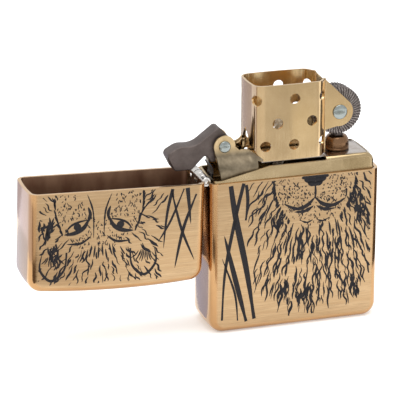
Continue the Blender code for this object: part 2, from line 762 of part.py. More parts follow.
def main():
    clear_scene()
    brushed_brass = make_material("brushed_brass", (0.62, 0.42, 0.22), 0.32, 1.0)
    bright_brass = make_material("bright_brass", (0.72, 0.53, 0.30), 0.14, 1.0)
    tube_brass = make_material("tube_brass", (0.55, 0.36, 0.18), 0.25, 1.0)
    hinge_steel = make_material("hinge_steel", (0.62, 0.60, 0.58), 0.25, 1.0)
    dark_steel = make_material("dark_steel", (0.16, 0.13, 0.13), 0.5, 0.8)
    spring_steel = make_material("spring_steel", (0.12, 0.11, 0.12), 0.35, 0.9)
    zinc = make_material("zinc", (0.60, 0.64, 0.68), 0.3, 1.0)
    flint_grey = make_material("flint_grey", (0.20, 0.19, 0.18), 0.7, 0.2)
    cotton = make_material("cotton", (0.80, 0.76, 0.68), 0.95, 0.0)
    felt = make_material("felt", (0.55, 0.53, 0.50), 1.0, 0.0)

    make_case(brushed_brass, hinge_steel)
    make_lid(brushed_brass, hinge_steel)
    make_insert_shell(bright_brass)
    make_top_plate(bright_brass)
    make_chimney(bright_brass)
    make_striker(dark_steel, zinc)
    make_cam(dark_steel, zinc, spring_steel)
    make_flint_train(tube_brass, flint_grey, spring_steel)
    make_soft_pieces(cotton, felt)


main()
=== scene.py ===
"""The looks of the flip-top lighter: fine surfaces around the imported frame.

Shapes are worked out in millimetres in the frame's axes (+X away from the hinge, +Y to the back,
+Z up) and written in metres.
"""

import json
import math
import random

import bmesh
import bpy
from mathutils import Matrix, Vector, noise
from mathutils.geometry import delaunay_2d_cdt, intersect_line_line_2d


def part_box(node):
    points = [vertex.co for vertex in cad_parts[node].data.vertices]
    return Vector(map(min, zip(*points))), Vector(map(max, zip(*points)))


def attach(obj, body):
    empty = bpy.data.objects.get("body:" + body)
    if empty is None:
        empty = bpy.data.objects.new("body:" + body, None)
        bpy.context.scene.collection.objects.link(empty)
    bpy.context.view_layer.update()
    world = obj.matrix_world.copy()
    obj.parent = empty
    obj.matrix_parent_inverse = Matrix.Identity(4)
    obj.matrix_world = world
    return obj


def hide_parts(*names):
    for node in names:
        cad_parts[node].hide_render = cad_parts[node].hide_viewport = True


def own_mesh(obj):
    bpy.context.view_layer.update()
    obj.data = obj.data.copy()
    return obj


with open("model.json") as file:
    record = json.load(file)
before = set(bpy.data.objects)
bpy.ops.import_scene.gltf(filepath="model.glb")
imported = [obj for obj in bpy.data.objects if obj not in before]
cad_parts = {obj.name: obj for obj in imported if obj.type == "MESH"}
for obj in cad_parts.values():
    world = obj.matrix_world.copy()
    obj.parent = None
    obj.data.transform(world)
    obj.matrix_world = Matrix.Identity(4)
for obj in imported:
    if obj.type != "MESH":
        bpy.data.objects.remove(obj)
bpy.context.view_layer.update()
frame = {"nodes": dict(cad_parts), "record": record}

MM = 0.001


def node_box(name):
    """A CAD node's lowest and highest corners in millimetres."""
    return tuple(Vector(corner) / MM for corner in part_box(name))


def joint_fact(name, key):
    """What the record says about a joint."""
    for joint in frame["record"]["behaviour"]["joints"]:
        if joint["name"] == name:
            return joint[key]
    raise KeyError(name)


def joint_place(name):
    """A joint's place in millimetres."""
    return Vector(joint_fact(name, "pos_m")) / MM


CASE_HIGH = node_box("case_shell")[1]
HALF_WIDTH = CASE_HIGH.x
HALF_DEPTH = CASE_HIGH.y
CASE_RIM = CASE_HIGH.z
RIM_GAP = 0.1
LID_HEIGHT = 22.15
LID_ARCH = 0.95
WALL = 0.7
END_RADIUS = 3.0
EDGE_RADIUS = 1.8
SIDE_CROWN = 0.4
HINGE = joint_place("lid_hinge")
LID_OPEN = math.radians(joint_fact("lid_hinge", "range_deg")[0])

INSERT_LOW, INSERT_HIGH = node_box("insert_shell")
PLATE_LOW, PLATE_HIGH = node_box("top_plate")
WHEEL_HIGH = node_box("striker_wheel")[1]
WHEEL = joint_place("wheel_spin")
CAM = joint_place("cam_pivot")
CAM_LOW, CAM_HIGH = node_box("cam")
TUBE_LOW, TUBE_HIGH = node_box("flint_tube")
TUBE_X = (TUBE_LOW.x + TUBE_HIGH.x) / 2
EAR_OUTER = 3.0
SHEET = 0.45
CHIMNEY_LOW = 37.15
CHIMNEY_TOP = node_box("chimney_frame")[1].z
PLATE_SEAM = (-9.6, -7.4)
LIP = 0.8
LIP_LOW = 36.2
SLOT_END = 7.0
MOUTH_X = INSERT_HIGH.x - LIP - 0.6
MOUTH_Y = INSERT_HIGH.y - LIP
CAM_BORE = 0.66
AXLE_BORE = 0.76
EYE_RADIUS = 2.35
VENT_RADIUS = 1.15
LEAF_HALF = 4.7
KNUCKLE_PITCH = 1.9
KNUCKLE_HALF = 0.9


# ---------------- materials


class Nodes:
    """A material's node tree, with the few operations that the finishes below share."""

    def __init__(self, name, colour, roughness, metallic):
        self.material = bpy.data.materials.new(name)
        self.material.use_nodes = True
        self.tree = self.material.node_tree
        self.shader = self.tree.nodes["Principled BSDF"]
        self.put("Base Color", (*colour, 1.0))
        self.put("Roughness", roughness)
        self.put("Metallic", metallic)
        self.place = self.add("ShaderNodeTexCoord").outputs["Object"]

    def put(self, socket, value):
        self.shader.inputs[socket].default_value = value

    def add(self, kind, **settings):
        node = self.tree.nodes.new(kind)
        for key, value in settings.items():
            setattr(node, key, value)
        return node

    def link(self, source, target):
        self.tree.links.new(source, target)

    def noise(self, scale, stretch=(1, 1, 1), detail=3.0, rough=0.55):
        """Noise whose grain is 1 / scale metres, stretched along the axes where stretch is small."""
        mapping = self.add("ShaderNodeMapping")
        mapping.inputs["Scale"].default_value = [scale * s for s in stretch]
        self.link(self.place, mapping.inputs["Vector"])
        texture = self.add("ShaderNodeTexNoise")
        texture.inputs["Scale"].default_value = 1.0
        texture.inputs["Detail"].default_value = detail
        texture.inputs["Roughness"].default_value = rough
        self.link(mapping.outputs["Vector"], texture.inputs["Vector"])
        return texture.outputs["Fac"]

    def spread(self, value, low, high, to_low=0.0, to_high=1.0):
        node = self.add("ShaderNodeMapRange", clamp=True)
        node.inputs["From Min"].default_value = low
        node.inputs["From Max"].default_value = high
        node.inputs["To Min"].default_value = to_low
        node.inputs["To Max"].default_value = to_high
        self.link(value, node.inputs["Value"])
        return node.outputs["Result"]

    def vary(self, value, to_low, to_high):
        """A number that moves between two values over the middle of a noise's range."""
        return self.spread(value, 0.3, 0.7, to_low, to_high)

    def math(self, operation, first, second):
        node = self.add("ShaderNodeMath", operation=operation)
        for socket, value in zip(node.inputs, (first, second)):
            if isinstance(value, (int, float)):
                socket.default_value = value
            else:
                self.link(value, socket)
        return node.outputs["Value"]

    def blend(self, share, first, second):
        """Two colours, or colour outputs, mixed by a value."""
        node = self.add("ShaderNodeMix", data_type="RGBA")
        self.link(share, node.inputs["Factor"])
        for socket, value in ((node.inputs[6], first), (node.inputs[7], second)):
            if isinstance(value, tuple):
                socket.default_value = (*value, 1.0)
            else:
                self.link(value, socket)
        return node.outputs[2]

    def tint(self, value, first, second, low=0.3, high=0.7):
        """Two colours mixed as a value goes from low to high."""
        return self.blend(self.spread(value, low, high), first, second)

    def facing_y(self, low, high):
        """1 where the surface faces the front or the back, and 0 on the narrow sides."""
        normal = self.add("ShaderNodeTexCoord").outputs["Normal"]
        parts = self.add("ShaderNodeSeparateXYZ")
        self.link(normal, parts.inputs["Vector"])
        return self.spread(self.math("ABSOLUTE", parts.outputs["Y"], 0.0), low, high)

    def finish(self, colour, roughness, height, distance, strength):
        """Wires up the colour, the roughness where it varies, and the bumps. Gives the material."""
        self.link(colour, self.shader.inputs["Base Color"])
        if roughness is not None:
            self.link(roughness, self.shader.inputs["Roughness"])
        bump = self.add("ShaderNodeBump")
        bump.inputs["Strength"].default_value = strength
        bump.inputs["Distance"].default_value = distance
        self.link(height, bump.inputs["Height"])
        self.link(bump.outputs["Normal"], self.shader.inputs["Normal"])
        return self.material


def brushed_brass():
    """Fine brushing along X on the broad faces, narrow sides with a high polish, and a painted darker
    reflection on the rounded edges between them.
    """
    made = Nodes("brushed_brass", (0.60, 0.40, 0.20), 0.3, 1.0)
    made.put("Anisotropic", 0.35)
    brush = made.noise(9000, (0.02, 0.02, 1), detail=4, rough=0.7)
    streaks = made.noise(2200, (0.012, 0.012, 1), detail=2)
    smudge = made.noise(90)
    face = made.facing_y(0.9, 0.995)
    brushed = made.tint(brush, (0.38, 0.252, 0.137), (0.66, 0.465, 0.27))
    band = made.spread(streaks, 0.4, 0.62, 0.0, 0.5)
    brushed = made.blend(band, brushed, (0.45, 0.292, 0.15))
    sides = made.tint(smudge, (0.62, 0.425, 0.25), (0.70, 0.485, 0.29), 0.35, 0.65)
    # Painted reflection: the rounded edges take a darker amber tone in place of the dark surroundings they
    # would reflect.
    painted_dark_fillets = made.tint(smudge, (0.46, 0.26, 0.12), (0.54, 0.32, 0.15), 0.35, 0.65)
    sides_and_painted_fillets = made.blend(made.facing_y(0.15, 0.55), sides, painted_dark_fillets)
    rough_side = made.vary(smudge, 0.10, 0.17)
    step = made.math("SUBTRACT", made.vary(brush, 0.26, 0.40), rough_side)
    rough = made.math("ADD", rough_side, made.math("MULTIPLY", step, face))
    scratches = made.math("MULTIPLY", brush, face)
    return made.finish(made.blend(face, sides_and_painted_fillets, brushed), rough, scratches, 0.00001, 0.6)


def raw_brass():
    """The dull, darkened inside of the case and the lid."""
    made = Nodes("raw_brass", (0.30, 0.17, 0.10), 0.42, 1.0)
    stain = made.noise(220, (1, 1, 0.4), detail=5)
    tone = made.tint(stain, (0.22, 0.12, 0.075), (0.38, 0.235, 0.15))
    return made.finish(tone, made.vary(stain, 0.34, 0.5), made.noise(3500, (1, 1, 0.1)), 0.00001, 0.4)


def bright_brass(name, low, high, rough):
    """Polished sheet brass with faint rolling marks and finger smudges."""
    made = Nodes(name, high, rough, 1.0)
    smudge = made.noise(160, detail=4)
    rolled = made.noise(5000, (1, 1, 0.03))
    fine = made.vary(rolled, rough * 0.8, rough * 1.3)
    grease = made.spread(smudge, 0.45, 0.75, 0.0, 0.05)
    return made.finish(made.tint(smudge, low, high), made.math("ADD", fine, grease), rolled, 0.000006, 0.35)


def worn_brass():
    """The cam plates: dull, finely scuffed brass, darker and greyer low down."""
    made = Nodes("worn_brass", (0.34, 0.29, 0.22), 0.4, 1.0)
    scuffs = made.noise(3000, (1, 1, 0.15), detail=5, rough=0.7)
    patches = made.noise(420, detail=4)
    place = made.add("ShaderNodeSeparateXYZ")
    made.link(made.place, place.inputs["Vector"])
    up = made.spread(place.outputs["Z"], 0.0385, 0.0405)
    # Darker and greyer below about 39 to 40 mm up.
    dull = made.tint(patches, (0.13, 0.105, 0.07), (0.27, 0.22, 0.15), 0.35, 0.65)
    bare = made.tint(patches, (0.54, 0.40, 0.22), (0.66, 0.50, 0.29), 0.35, 0.65)
    return made.finish(made.blend(up, dull, bare), made.vary(scuffs, 0.3, 0.5), scuffs, 0.00002, 0.5)


def dark_steel():
    """Hardened steel with a sintered, slightly pitted skin."""
    made = Nodes("dark_steel", (0.17, 0.14, 0.14), 0.45, 0.85)
    skin = made.noise(2600, detail=5, rough=0.65)
    tone = made.tint(made.noise(260), (0.085, 0.067, 0.061), (0.142, 0.115, 0.106))
    return made.finish(tone, made.vary(skin, 0.38, 0.58), skin, 0.00003, 0.5)


def wheel_steel(name, low, high):
    """The striker's steel, in one tone for the worn crests of its teeth and a much darker one for their
    roots, where the dark tone is painted shade.
    """
    made = Nodes(name, high, 0.45, 0.9)
    skin = made.noise(1500, detail=6, rough=0.75)
    tone = made.tint(skin, low, high, 0.38, 0.62)
    return made.finish(tone, made.vary(skin, 0.36, 0.55), skin, 0.00004, 0.6)


def plated(name, low, high, rough):
    """Nickel or zinc plate with a faint cloudiness."""
    made = Nodes(name, high, rough, 1.0)
    cloud = made.noise(900, detail=4)
    sheen = made.vary(cloud, rough * 0.8, rough * 1.3)
    return made.finish(made.tint(cloud, low, high), sheen, made.noise(6000, detail=2), 0.000008, 0.4)


def engraving_ink():
    """Black engraving fill, a little blue, with a broken sheen."""
    made = Nodes("engraving_ink", (0.012, 0.012, 0.016), 0.5, 0.0)
    made.put("Specular IOR Level", 0.2)
    grain = made.noise(5000, detail=4)
    tone = made.tint(grain, (0.007, 0.007, 0.011), (0.026, 0.022, 0.022), 0.35, 0.7)
    return made.finish(tone, made.vary(grain, 0.4, 0.65), grain, 0.00001, 0.4)


def fibre(name, low, high):
    """Cotton or felt: matte, with a fine tangle and a soft sheen."""
    made = Nodes(name, high, 0.95, 0.0)
    made.put("Sheen Weight", 0.4)
    tangle = made.noise(5200, detail=5, rough=0.75)
    return made.finish(made.tint(tangle, low, high), None, tangle, 0.00012, 0.9)


BRUSHED = brushed_brass()
RAW = raw_brass()
BRIGHT = bright_brass("bright_brass", (0.60, 0.43, 0.235), (0.68, 0.50, 0.285), 0.13)
# Painted light: the chimney's inside and cut edges take a brighter copy of its brass, standing in for light
# caught inside the chimney.
INNER = bright_brass("inner_brass_painted_bright", (0.88, 0.60, 0.30), (1.0, 0.86, 0.56), 0.16)
CHAMBER = bright_brass("chamber_brass", (0.36, 0.265, 0.142), (0.495, 0.378, 0.218), 0.2)
PLATE = plated("plate_brass", (0.40, 0.35, 0.31), (0.51, 0.46, 0.42), 0.2)
TUBE = bright_brass("tube_brass", (0.15, 0.082, 0.042), (0.23, 0.13, 0.07), 0.2)
WORN = worn_brass()
DARK = dark_steel()
WHEEL_STEEL = wheel_steel("wheel_steel", (0.12, 0.10, 0.095), (0.36, 0.32, 0.30))
# The roots' dark steel is painted shade between the wheel's teeth.
WHEEL_SHADED_ROOTS = wheel_steel("wheel_painted_root_shade", (0.022, 0.018, 0.018), (0.09, 0.074, 0.07))
SPRING = plated("spring_steel", (0.07, 0.07, 0.08), (0.13, 0.12, 0.13), 0.3)
HINGE_STEEL = plated("hinge_steel", (0.56, 0.53, 0.50), (0.68, 0.65, 0.62), 0.22)
ZINC = plated("zinc", (0.24, 0.27, 0.265), (0.36, 0.39, 0.37), 0.15)
INK = engraving_ink()
COTTON = fibre("cotton", (0.62, 0.57, 0.49), (0.82, 0.78, 0.71))
FELT = fibre("felt", (0.40, 0.385, 0.36), (0.58, 0.56, 0.53))


# ---------------- mesh tools


def add_object(name, data):
    """A new object in the scene."""
    made = bpy.data.objects.new(name, data)
    bpy.context.scene.collection.objects.link(made)
    return made


def finish_piece(name, bm, materials, body, smooth=32, nodes=()):
    """Writes a bmesh as a piece that rides on a body and stands for CAD nodes."""
    bmesh.ops.scale(bm, vec=(MM, MM, MM), verts=bm.verts)
    mesh = bpy.data.meshes.new(name)
    bm.to_mesh(mesh)
    bm.free()
    for material in materials:
        mesh.materials.append(material)
    mesh.shade_smooth()
    mesh.set_sharp_from_angle(angle=math.radians(smooth))
    piece = add_object(name, mesh)
    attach(piece, body)
    if nodes:
        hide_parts(*nodes)
    return piece


def loft(rings, ring_shaped=False):
    """A closed body through rings of equal count, capped unless the last ring meets the first."""
    bm = bmesh.new()
    rows = [[bm.verts.new(point) for point in ring] for ring in rings]
    pairs = list(zip(rows, rows[1:]))
    if ring_shaped:
        pairs.append((rows[-1], rows[0]))
    else:
        bm.faces.new(rows[0])
        bm.faces.new(rows[-1])
    for first, second in pairs:
        for i in range(len(first)):
            j = (i + 1) % len(first)
            bm.faces.new((first[i], first[j], second[j], second[i]))
    bmesh.ops.recalc_face_normals(bm, faces=bm.faces)
    return bm


def surface(rows, around, point, ring_shaped=False):
    """A body lofted through point(row, angle), with this many angles round each row."""
    angles = [2 * math.pi * k / around for k in range(around)]
    return loft([[point(row, angle) for angle in angles] for row in rows], ring_shaped)


def extrude(outline, axis, low, high):
    """A prism along an axis. The outline is (x, z) for Y, (x, y) for Z and (y, z) for X."""
    place = {
        "X": lambda u, v, t: (t, u, v),
        "Y": lambda u, v, t: (u, t, v),
        "Z": lambda u, v, t: (u, v, t),
    }[axis]
    return loft([[place(u, v, t) for u, v in outline] for t in (low, high)])


def box(low, high):
    """A block between two corners."""
    outline = [(low[0], low[2]), (high[0], low[2]), (high[0], high[2]), (low[0], high[2])]
    return extrude(outline, "Y", low[1], high[1])


def turned(profile, centre, axis, bored=False, steps=64):
    """A turned body from (radius, height) points along an axis through centre."""
    turn = {"Y": Matrix.Rotation(math.radians(-90), 3, "X"), "Z": Matrix.Identity(3)}[axis]

    def point(row, angle):
        radius, height = row
        local = Vector((radius * math.cos(angle), radius * math.sin(angle), height))
        return Vector(centre) + turn @ local

    return surface(profile, steps, point, bored)


def drill(radius, centre, axis="Y", reach=(-9, 9), steps=32):
    """A rod that cuts a round hole."""
    return turned([(radius, height) for height in reach], centre, axis, steps=steps)


def rounded(corners, steps=8, closed=True):
    """Points along a 2-D outline with its (u, v, radius) corners rounded by arcs.

    Each arc has this many steps, or steps of about a quarter of a millimetre if that is 0.
    """
    points = []
    last = len(corners) - 1
    for i, (u, v, radius) in enumerate(corners):
        here = Vector((u, v))
        if radius == 0 or (not closed and i in (0, last)):
            points.append(here)
            continue
        before = (Vector(corners[i - 1][:2]) - here).normalized()
        after = (Vector(corners[(i + 1) % len(corners)][:2]) - here).normalized()
        half = before.angle(after) / 2
        centre = here + (before + after).normalized() * (radius / math.sin(half))
        start = here + before * (radius / math.tan(half)) - centre
        end = here + after * (radius / math.tan(half)) - centre
        sweep = math.atan2(start.x * end.y - start.y * end.x, start.dot(end))
        count = steps if steps else max(6, int(abs(sweep) * radius / 0.25))
        for k in range(count + 1):
            points.append(centre + Matrix.Rotation(sweep * k / count, 2) @ start)
    return points


def arc(centre, radius, first, last, steps):
    """Points along a 2-D arc between two angles in degrees."""
    found = []
    for k in range(steps + 1):
        angle = math.radians(first + (last - first) * k / steps)
        found.append(Vector((centre[0] + radius * math.cos(angle), centre[1] + radius * math.sin(angle))))
    return found


def cut(base, tools):
    """A bmesh with other bmeshes cut away. All are used up; faces keep material 0 or 1."""
    def to_object(bm, name):
        mesh = bpy.data.meshes.new(name)
        bm.to_mesh(mesh)
        bm.free()
        for _ in range(2):
            mesh.materials.append(None)
        return add_object(name, mesh)

    body = to_object(base, "working_body")
    helpers = [to_object(tool, "working_tool") for tool in tools]
    for helper in helpers:
        step = body.modifiers.new("step", "BOOLEAN")
        step.operation = "DIFFERENCE"
        step.object = helper
    graph = bpy.context.evaluated_depsgraph_get()
    result = bmesh.new()
    result.from_object(body, graph)
    for item in [body, *helpers]:
        mesh = item.data
        bpy.data.objects.remove(item)
        bpy.data.meshes.remove(mesh)
    return result


def soften(bm, wanted, width, segments=2):
    """Rounds the edges that pass a test."""
    edges = [edge for edge in bm.edges if len(edge.link_faces) == 2 and wanted(edge)]
    choices = {"profile": 0.5, "affect": "EDGES", "clamp_overlap": True}
    bmesh.ops.bevel(bm, geom=edges, offset=width, segments=segments, **choices)


def sharper_than(degrees):
    """A test for edges whose faces turn by more than an angle."""
    limit = math.radians(degrees)
    return lambda edge: edge.calc_face_angle(0.0) > limit


def tub(half_width, half_depth, floor, rim, corner, edge, arch):
    """A crowned box closed at floor and cut level at rim, which may be above it or below it."""
    steps = 8
    way = 1 if rim > floor else -1
    flat = half_depth - edge
    stations = [flat * k / 6 for k in range(-6, 7)]
    turn = [edge * math.sin(math.pi / 2 * k / steps) for k in range(1, steps + 1)]
    stations = [-flat - t for t in reversed(turn)] + stations + [flat + t for t in turn]
    rings = []
    for y in stations:
        over = min(max(0.0, abs(y) - flat), edge)
        inset = edge - math.sqrt(edge**2 - over**2)
        half = half_width - SIDE_CROWN * (y / half_depth) ** 2 - inset
        reach = abs(rim - floor)
        corners = [(-half, reach, 0), (-half, inset + arch, corner - inset)]
        if arch:
            corners += [(half * k / 10, inset + arch * (k / 10) ** 2, 0) for k in range(-7, 8)]
        corners += [(half, inset + arch, corner - inset), (half, reach, 0)]
        rings.append([(u, y, floor + way * v) for u, v in rounded(corners, steps)])
    return loft(rings)


# ---------------- case and lid


def clearances(way):
    """The hinge's notch in the wall and the shallow pocket for its leaf."""
    wall_face = -HALF_WIDTH + WALL
    wide, wider = LEAF_HALF + 0.1, LEAF_HALF + 0.15
    low, high = sorted((HINGE.z + way * 1.2, HINGE.z - way * 2))
    notch = box((-HALF_WIDTH - 2, -wider, low), (wall_face + 1, wider, high))
    low, high = sorted((HINGE.z - way * 2, HINGE.z + way * 9.3))
    pocket = box((wall_face - 0.37, -wide, low), (wall_face + 1, wide, high))
    return [notch, pocket]


def shell(floor, rim, arch, way):
    """The case, or the lid when closed: a tub with its hollow, its hinge clearances and a soft rim."""
    body = tub(HALF_WIDTH, HALF_DEPTH, floor, rim, END_RADIUS, EDGE_RADIUS, arch)
    hollow = tub(
        HALF_WIDTH - WALL,
        HALF_DEPTH - WALL,
        floor - way * WALL,
        rim - way * 3,
        END_RADIUS - WALL,
        EDGE_RADIUS - WALL,
        arch,
    )
    for face in hollow.faces:
        face.material_index = 1
    bm = cut(body, [hollow, *clearances(way)])

    def on_rim(edge):
        level = all(abs(vert.co.z - rim) < 0.001 for vert in edge.verts)
        return level and edge.calc_face_angle(0.0) > 1.0

    soften(bm, on_rim, 0.09, 3)
    return bm


def open_lid(bm):
    """Swings the closed lid's shape about the hinge to where it rests open."""
    bmesh.ops.rotate(bm, cent=HINGE, matrix=Matrix.Rotation(LID_OPEN, 3, "Y"), verts=bm.verts)
    return bm


def make_shells():
    """The case's skin and the open lid's."""
    case = shell(0, CASE_RIM, 0, -1)
    finish_piece("case_skin", case, (BRUSHED, RAW), "case", nodes=["case_shell"])
    rim = CASE_RIM + RIM_GAP
    lid = open_lid(shell(rim + LID_HEIGHT, rim, LID_ARCH, 1))
    finish_piece("lid_skin", lid, (BRUSHED, RAW), "lid", nodes=["lid_shell"])


# ---------------- artwork


class Drawing:
    """Ink strokes on the front, drawn as one picture on the shut lighter and shared between case and lid.

    Points are (x, z) in millimetres. Each stroke is a thin closed ribbon that stands a little proud,
    and each stands a hair prouder than the last, so that crossing strokes never share a plane.
    """

    PROUD = 0.015
    LAYER = 0.00001
    SUNK = 0.02

    def __init__(self):
        side = HALF_WIDTH - SIDE_CROWN - EDGE_RADIUS + 0.1
        rim = CASE_RIM + RIM_GAP
        self.windows = {
            "case": (-side, side, EDGE_RADIUS + 0.3, CASE_RIM - 0.25),
            "lid": (-side, side, rim + 0.25, rim + LID_HEIGHT - EDGE_RADIUS - 0.3),
        }
        self.sheets = {"case": bmesh.new(), "lid": bmesh.new()}
        self.random = random.Random(12)
        self.layers = 0

    def jitter(self, size):
        return self.random.uniform(-size, size)

    def ribbon(self, points, halves):
        """A stroke through points with these half widths, cut where it leaves a panel."""
        for part, (left, right, low, high) in self.windows.items():
            run = []
            for k, (x, z) in enumerate(points):
                if left < x < right and low < z < high:
                    run.append(k)
                    continue
                self.body(part, points, halves, run)
                run = []
            self.body(part, points, halves, run)

    def body(self, part, points, halves, run):
        """The ribbon's run of points on one panel, as a thin closed body."""
        if len(run) < 3:
            return
        self.layers += 1
        front = -HALF_DEPTH - self.PROUD - self.LAYER * self.layers
        back = -HALF_DEPTH + self.SUNK
        bm = self.sheets[part]
        rings = []
        for k in run:
            before, after = points[max(k - 1, 0)], points[min(k + 1, len(points) - 1)]
            along = Vector((after[0] - before[0], after[1] - before[1])).normalized()
            out = Vector((-along.y, along.x)) * max(halves[k], 0.035)
            a, b = Vector(points[k]) + out, Vector(points[k]) - out
            corners = [(a.x, front, a.y), (b.x, front, b.y), (b.x, back, b.y), (a.x, back, a.y)]
            rings.append([bm.verts.new(corner) for corner in corners])
        bm.faces.new(rings[0])
        bm.faces.new(reversed(rings[-1]))
        for first, second in zip(rings, rings[1:]):
            for i in range(4):
                j = (i + 1) % 4
                bm.faces.new((first[i], second[i], second[j], first[j]))

    def stroke(self, points, width, tip=0.0, root=0.0, wobble=0.0):
        """A smooth tapered stroke. root and tip are the shares of its width kept at its ends."""
        count = max(8, int(sum(math.dist(a, b) for a, b in zip(points, points[1:])) / 0.45))
        path, halves = [], []
        for k in range(count + 1):
            t = k / count
            swell = math.sin(math.pi * t) ** 0.7
            ends = root * (1 - t) + tip * t
            path.append(through(points, t))
            halves.append(width / 2 * max(swell, ends) * (1 + self.jitter(wobble)))
        self.ribbon(path, halves)

    def patch(self, centre, size, turn=0.0, rough=0.18):
        """A ragged filled spot: an ellipse drawn as one fat short ribbon."""
        count = 12
        path, halves = [], []
        for k in range(count + 1):
            u = -math.cos(math.pi * k / count)
            ahead = Matrix.Rotation(turn, 2) @ Vector((u * size[0], 0))
            path.append((centre[0] + ahead.x, centre[1] + ahead.y))
            halves.append(size[1] * math.sqrt(max(0.0, 1 - u * u)) * (1 + self.jitter(rough)))
        self.ribbon(path, halves)

    def finish(self):
        """Trims what reaches over the seam, then makes one piece of each panel's strokes."""
        for part, bm in self.sheets.items():
            for vert in bm.verts:
                if part == "case":
                    vert.co.z = min(vert.co.z, CASE_RIM - 0.05)
                else:
                    vert.co.z = max(vert.co.z, CASE_RIM + RIM_GAP + 0.05)
            bmesh.ops.dissolve_degenerate(bm, dist=1e-6, edges=bm.edges)
            if part == "lid":
                open_lid(bm)
            finish_piece(f"{part}_artwork", bm, (INK,), part, smooth=30)


def through(points, t):
    """A point on the Catmull-Rom curve through a few points, at share t of its way."""
    last = len(points) - 1
    k = min(int(t * last), last - 1)
    f = t * last - k
    a, b, c, d = (Vector(points[min(max(k + i, 0), last)]) for i in (-1, 0, 1, 2))
    bend = 2 * a - 5 * b + 4 * c - d
    return tuple(0.5 * (2 * b + (c - a) * f + bend * f**2 + (3 * (b - c) + d - a) * f**3))


FACE = Vector((4.2, 35.0))


def draw_reeds(ink):
    """Long blades that cross at the hinge side and run on over the lid."""
    for points, width in (
        ([(-9.2, 2.6), (-11.0, 14), (-13.8, 28), (-15.6, 42)], 1.35),
        ([(-11.0, 2.2), (-13.2, 11), (-15.9, 22)], 1.15),
        ([(-16.4, 3.0), (-15.7, 14), (-13.2, 27), (-10.6, 38), (-9.8, 47)], 0.8),
        ([(-12.9, 2.6), (-13.6, 9), (-16.4, 17)], 0.5),
        ([(-11.2, 25), (-10.8, 30), (-11.8, 37)], 0.75),
        ([(-11.2, 34.5), (-13.6, 43), (-16.6, 50)], 0.6),
        ([(-16.6, 35.5), (-14.0, 43), (-12.4, 51.5)], 0.7),
        ([(-13.9, 34.2), (-11.2, 41), (-8.6, 45.5)], 0.5),
    ):
        ink.stroke(points, width, root=0.6)


def draw_face(ink):
    """A plain front view of a big cat: eyes, nose, mouth and ears, the same on both sides."""
    for side in (-1, 1):
        def at(u, v):
            return (FACE.x + side * u, FACE.y + v)

        ink.stroke([at(2.1, 4.2), at(3.2, 6.2), at(5.2, 7.3), at(7.4, 7.5)], 1.0, root=0.5)
        ink.stroke([at(2.2, 4.6), at(4.2, 4.9), at(6.0, 5.7), at(7.2, 7.2)], 0.5)
        ink.patch(at(4.6, 6.0), (0.8, 0.85))
        ink.stroke([at(2.2, 5.0), at(1.9, 3.4), at(2.4, 1.8)], 0.7)
        ink.stroke([at(1.7, 8.2), at(3.8, 9.6), at(6.8, 9.6)], 0.55, wobble=0.2)
        ink.stroke([at(1.1, 8.6), at(1.3, 3.0), at(2.6, -0.9)], 0.35, wobble=0.3)
        ink.stroke([at(0.0, -1.9), at(1.6, -1.8), at(3.1, -1.9)], 1.2, root=1.0)
        ink.stroke([at(0.0, -2.7), at(1.3, -2.6), at(2.5, -2.4)], 1.2, root=1.0)
        ink.stroke([at(0.0, -3.5), at(0.8, -3.4), at(1.7, -3.0)], 1.1, root=1.0)
        ink.stroke([at(0.0, -6.4), at(1.8, -8.1), at(4.2, -8.6), at(7.0, -7.2)], 0.9, wobble=0.2)
        ink.stroke([at(0.3, -8.3), at(2.2, -9.3), at(4.6, -9.3)], 0.7, wobble=0.3)
        ink.stroke([at(0.4, -11.4), at(1.8, -11.9), at(3.4, -11.2)], 0.4, wobble=0.3)
        ear = [at(6.8, 11.4), at(7.3, 15.2), at(10.0, 17.4), at(12.4, 14.8), at(12.0, 11.4)]
        ink.stroke(ear, 0.6, root=0.7)
        for k in range(9):
            lean = (k - 5) * 0.32 + ink.jitter(0.2)
            rise = 2.6 - 0.22 * abs(k - 4) + ink.jitter(0.5)
            foot = at(8.6 + 0.3 * k, 11.9 + 0.1 * abs(k - 4) + ink.jitter(0.4))
            bend = (foot[0] + side * lean * 0.35, foot[1] + rise * 0.55)
            ink.stroke([foot, bend, (foot[0] + side * lean, foot[1] + rise)], 0.3)
        for row in range(4):
            for k in range(6):
                spot = at(2.0 + 0.95 * k + ink.jitter(0.25), -3.9 - 0.85 * row + 0.15 * k + ink.jitter(0.2))
                ink.patch(spot, (0.2, 0.14), ink.jitter(1.5), 0.3)
        edge = [at(7.6, 8.0), at(9.2, 3.0), at(9.0, -2.5), at(8.2, -6.5), at(5.6, -11.0)]
        for k in range(34):
            spot = through(edge, (k + ink.random.random()) / 34)
            reach = Vector((side * ink.random.uniform(0.2, 0.9), -ink.random.uniform(0.8, 1.9)))
            bend = (spot[0] + reach.x * 0.4, spot[1] + reach.y * 0.5)
            ink.stroke([spot, bend, tuple(Vector(spot) + reach)], 0.4)
    for k in range(9):
        lean = k - 4
        foot = (FACE.x + 0.75 * lean, FACE.y + 10.6 + ink.jitter(0.6))
        ink.stroke([foot, (foot[0] + 0.1 * lean, foot[1] + 1.4), (foot[0] + 0.25 * lean, foot[1] + 2.6)], 0.4)
    crease = [(FACE.x, FACE.y - 3.6), (FACE.x + 0.1, FACE.y - 5.2), (FACE.x, FACE.y - 6.7)]
    ink.stroke(crease, 0.5, root=0.6, tip=0.8)


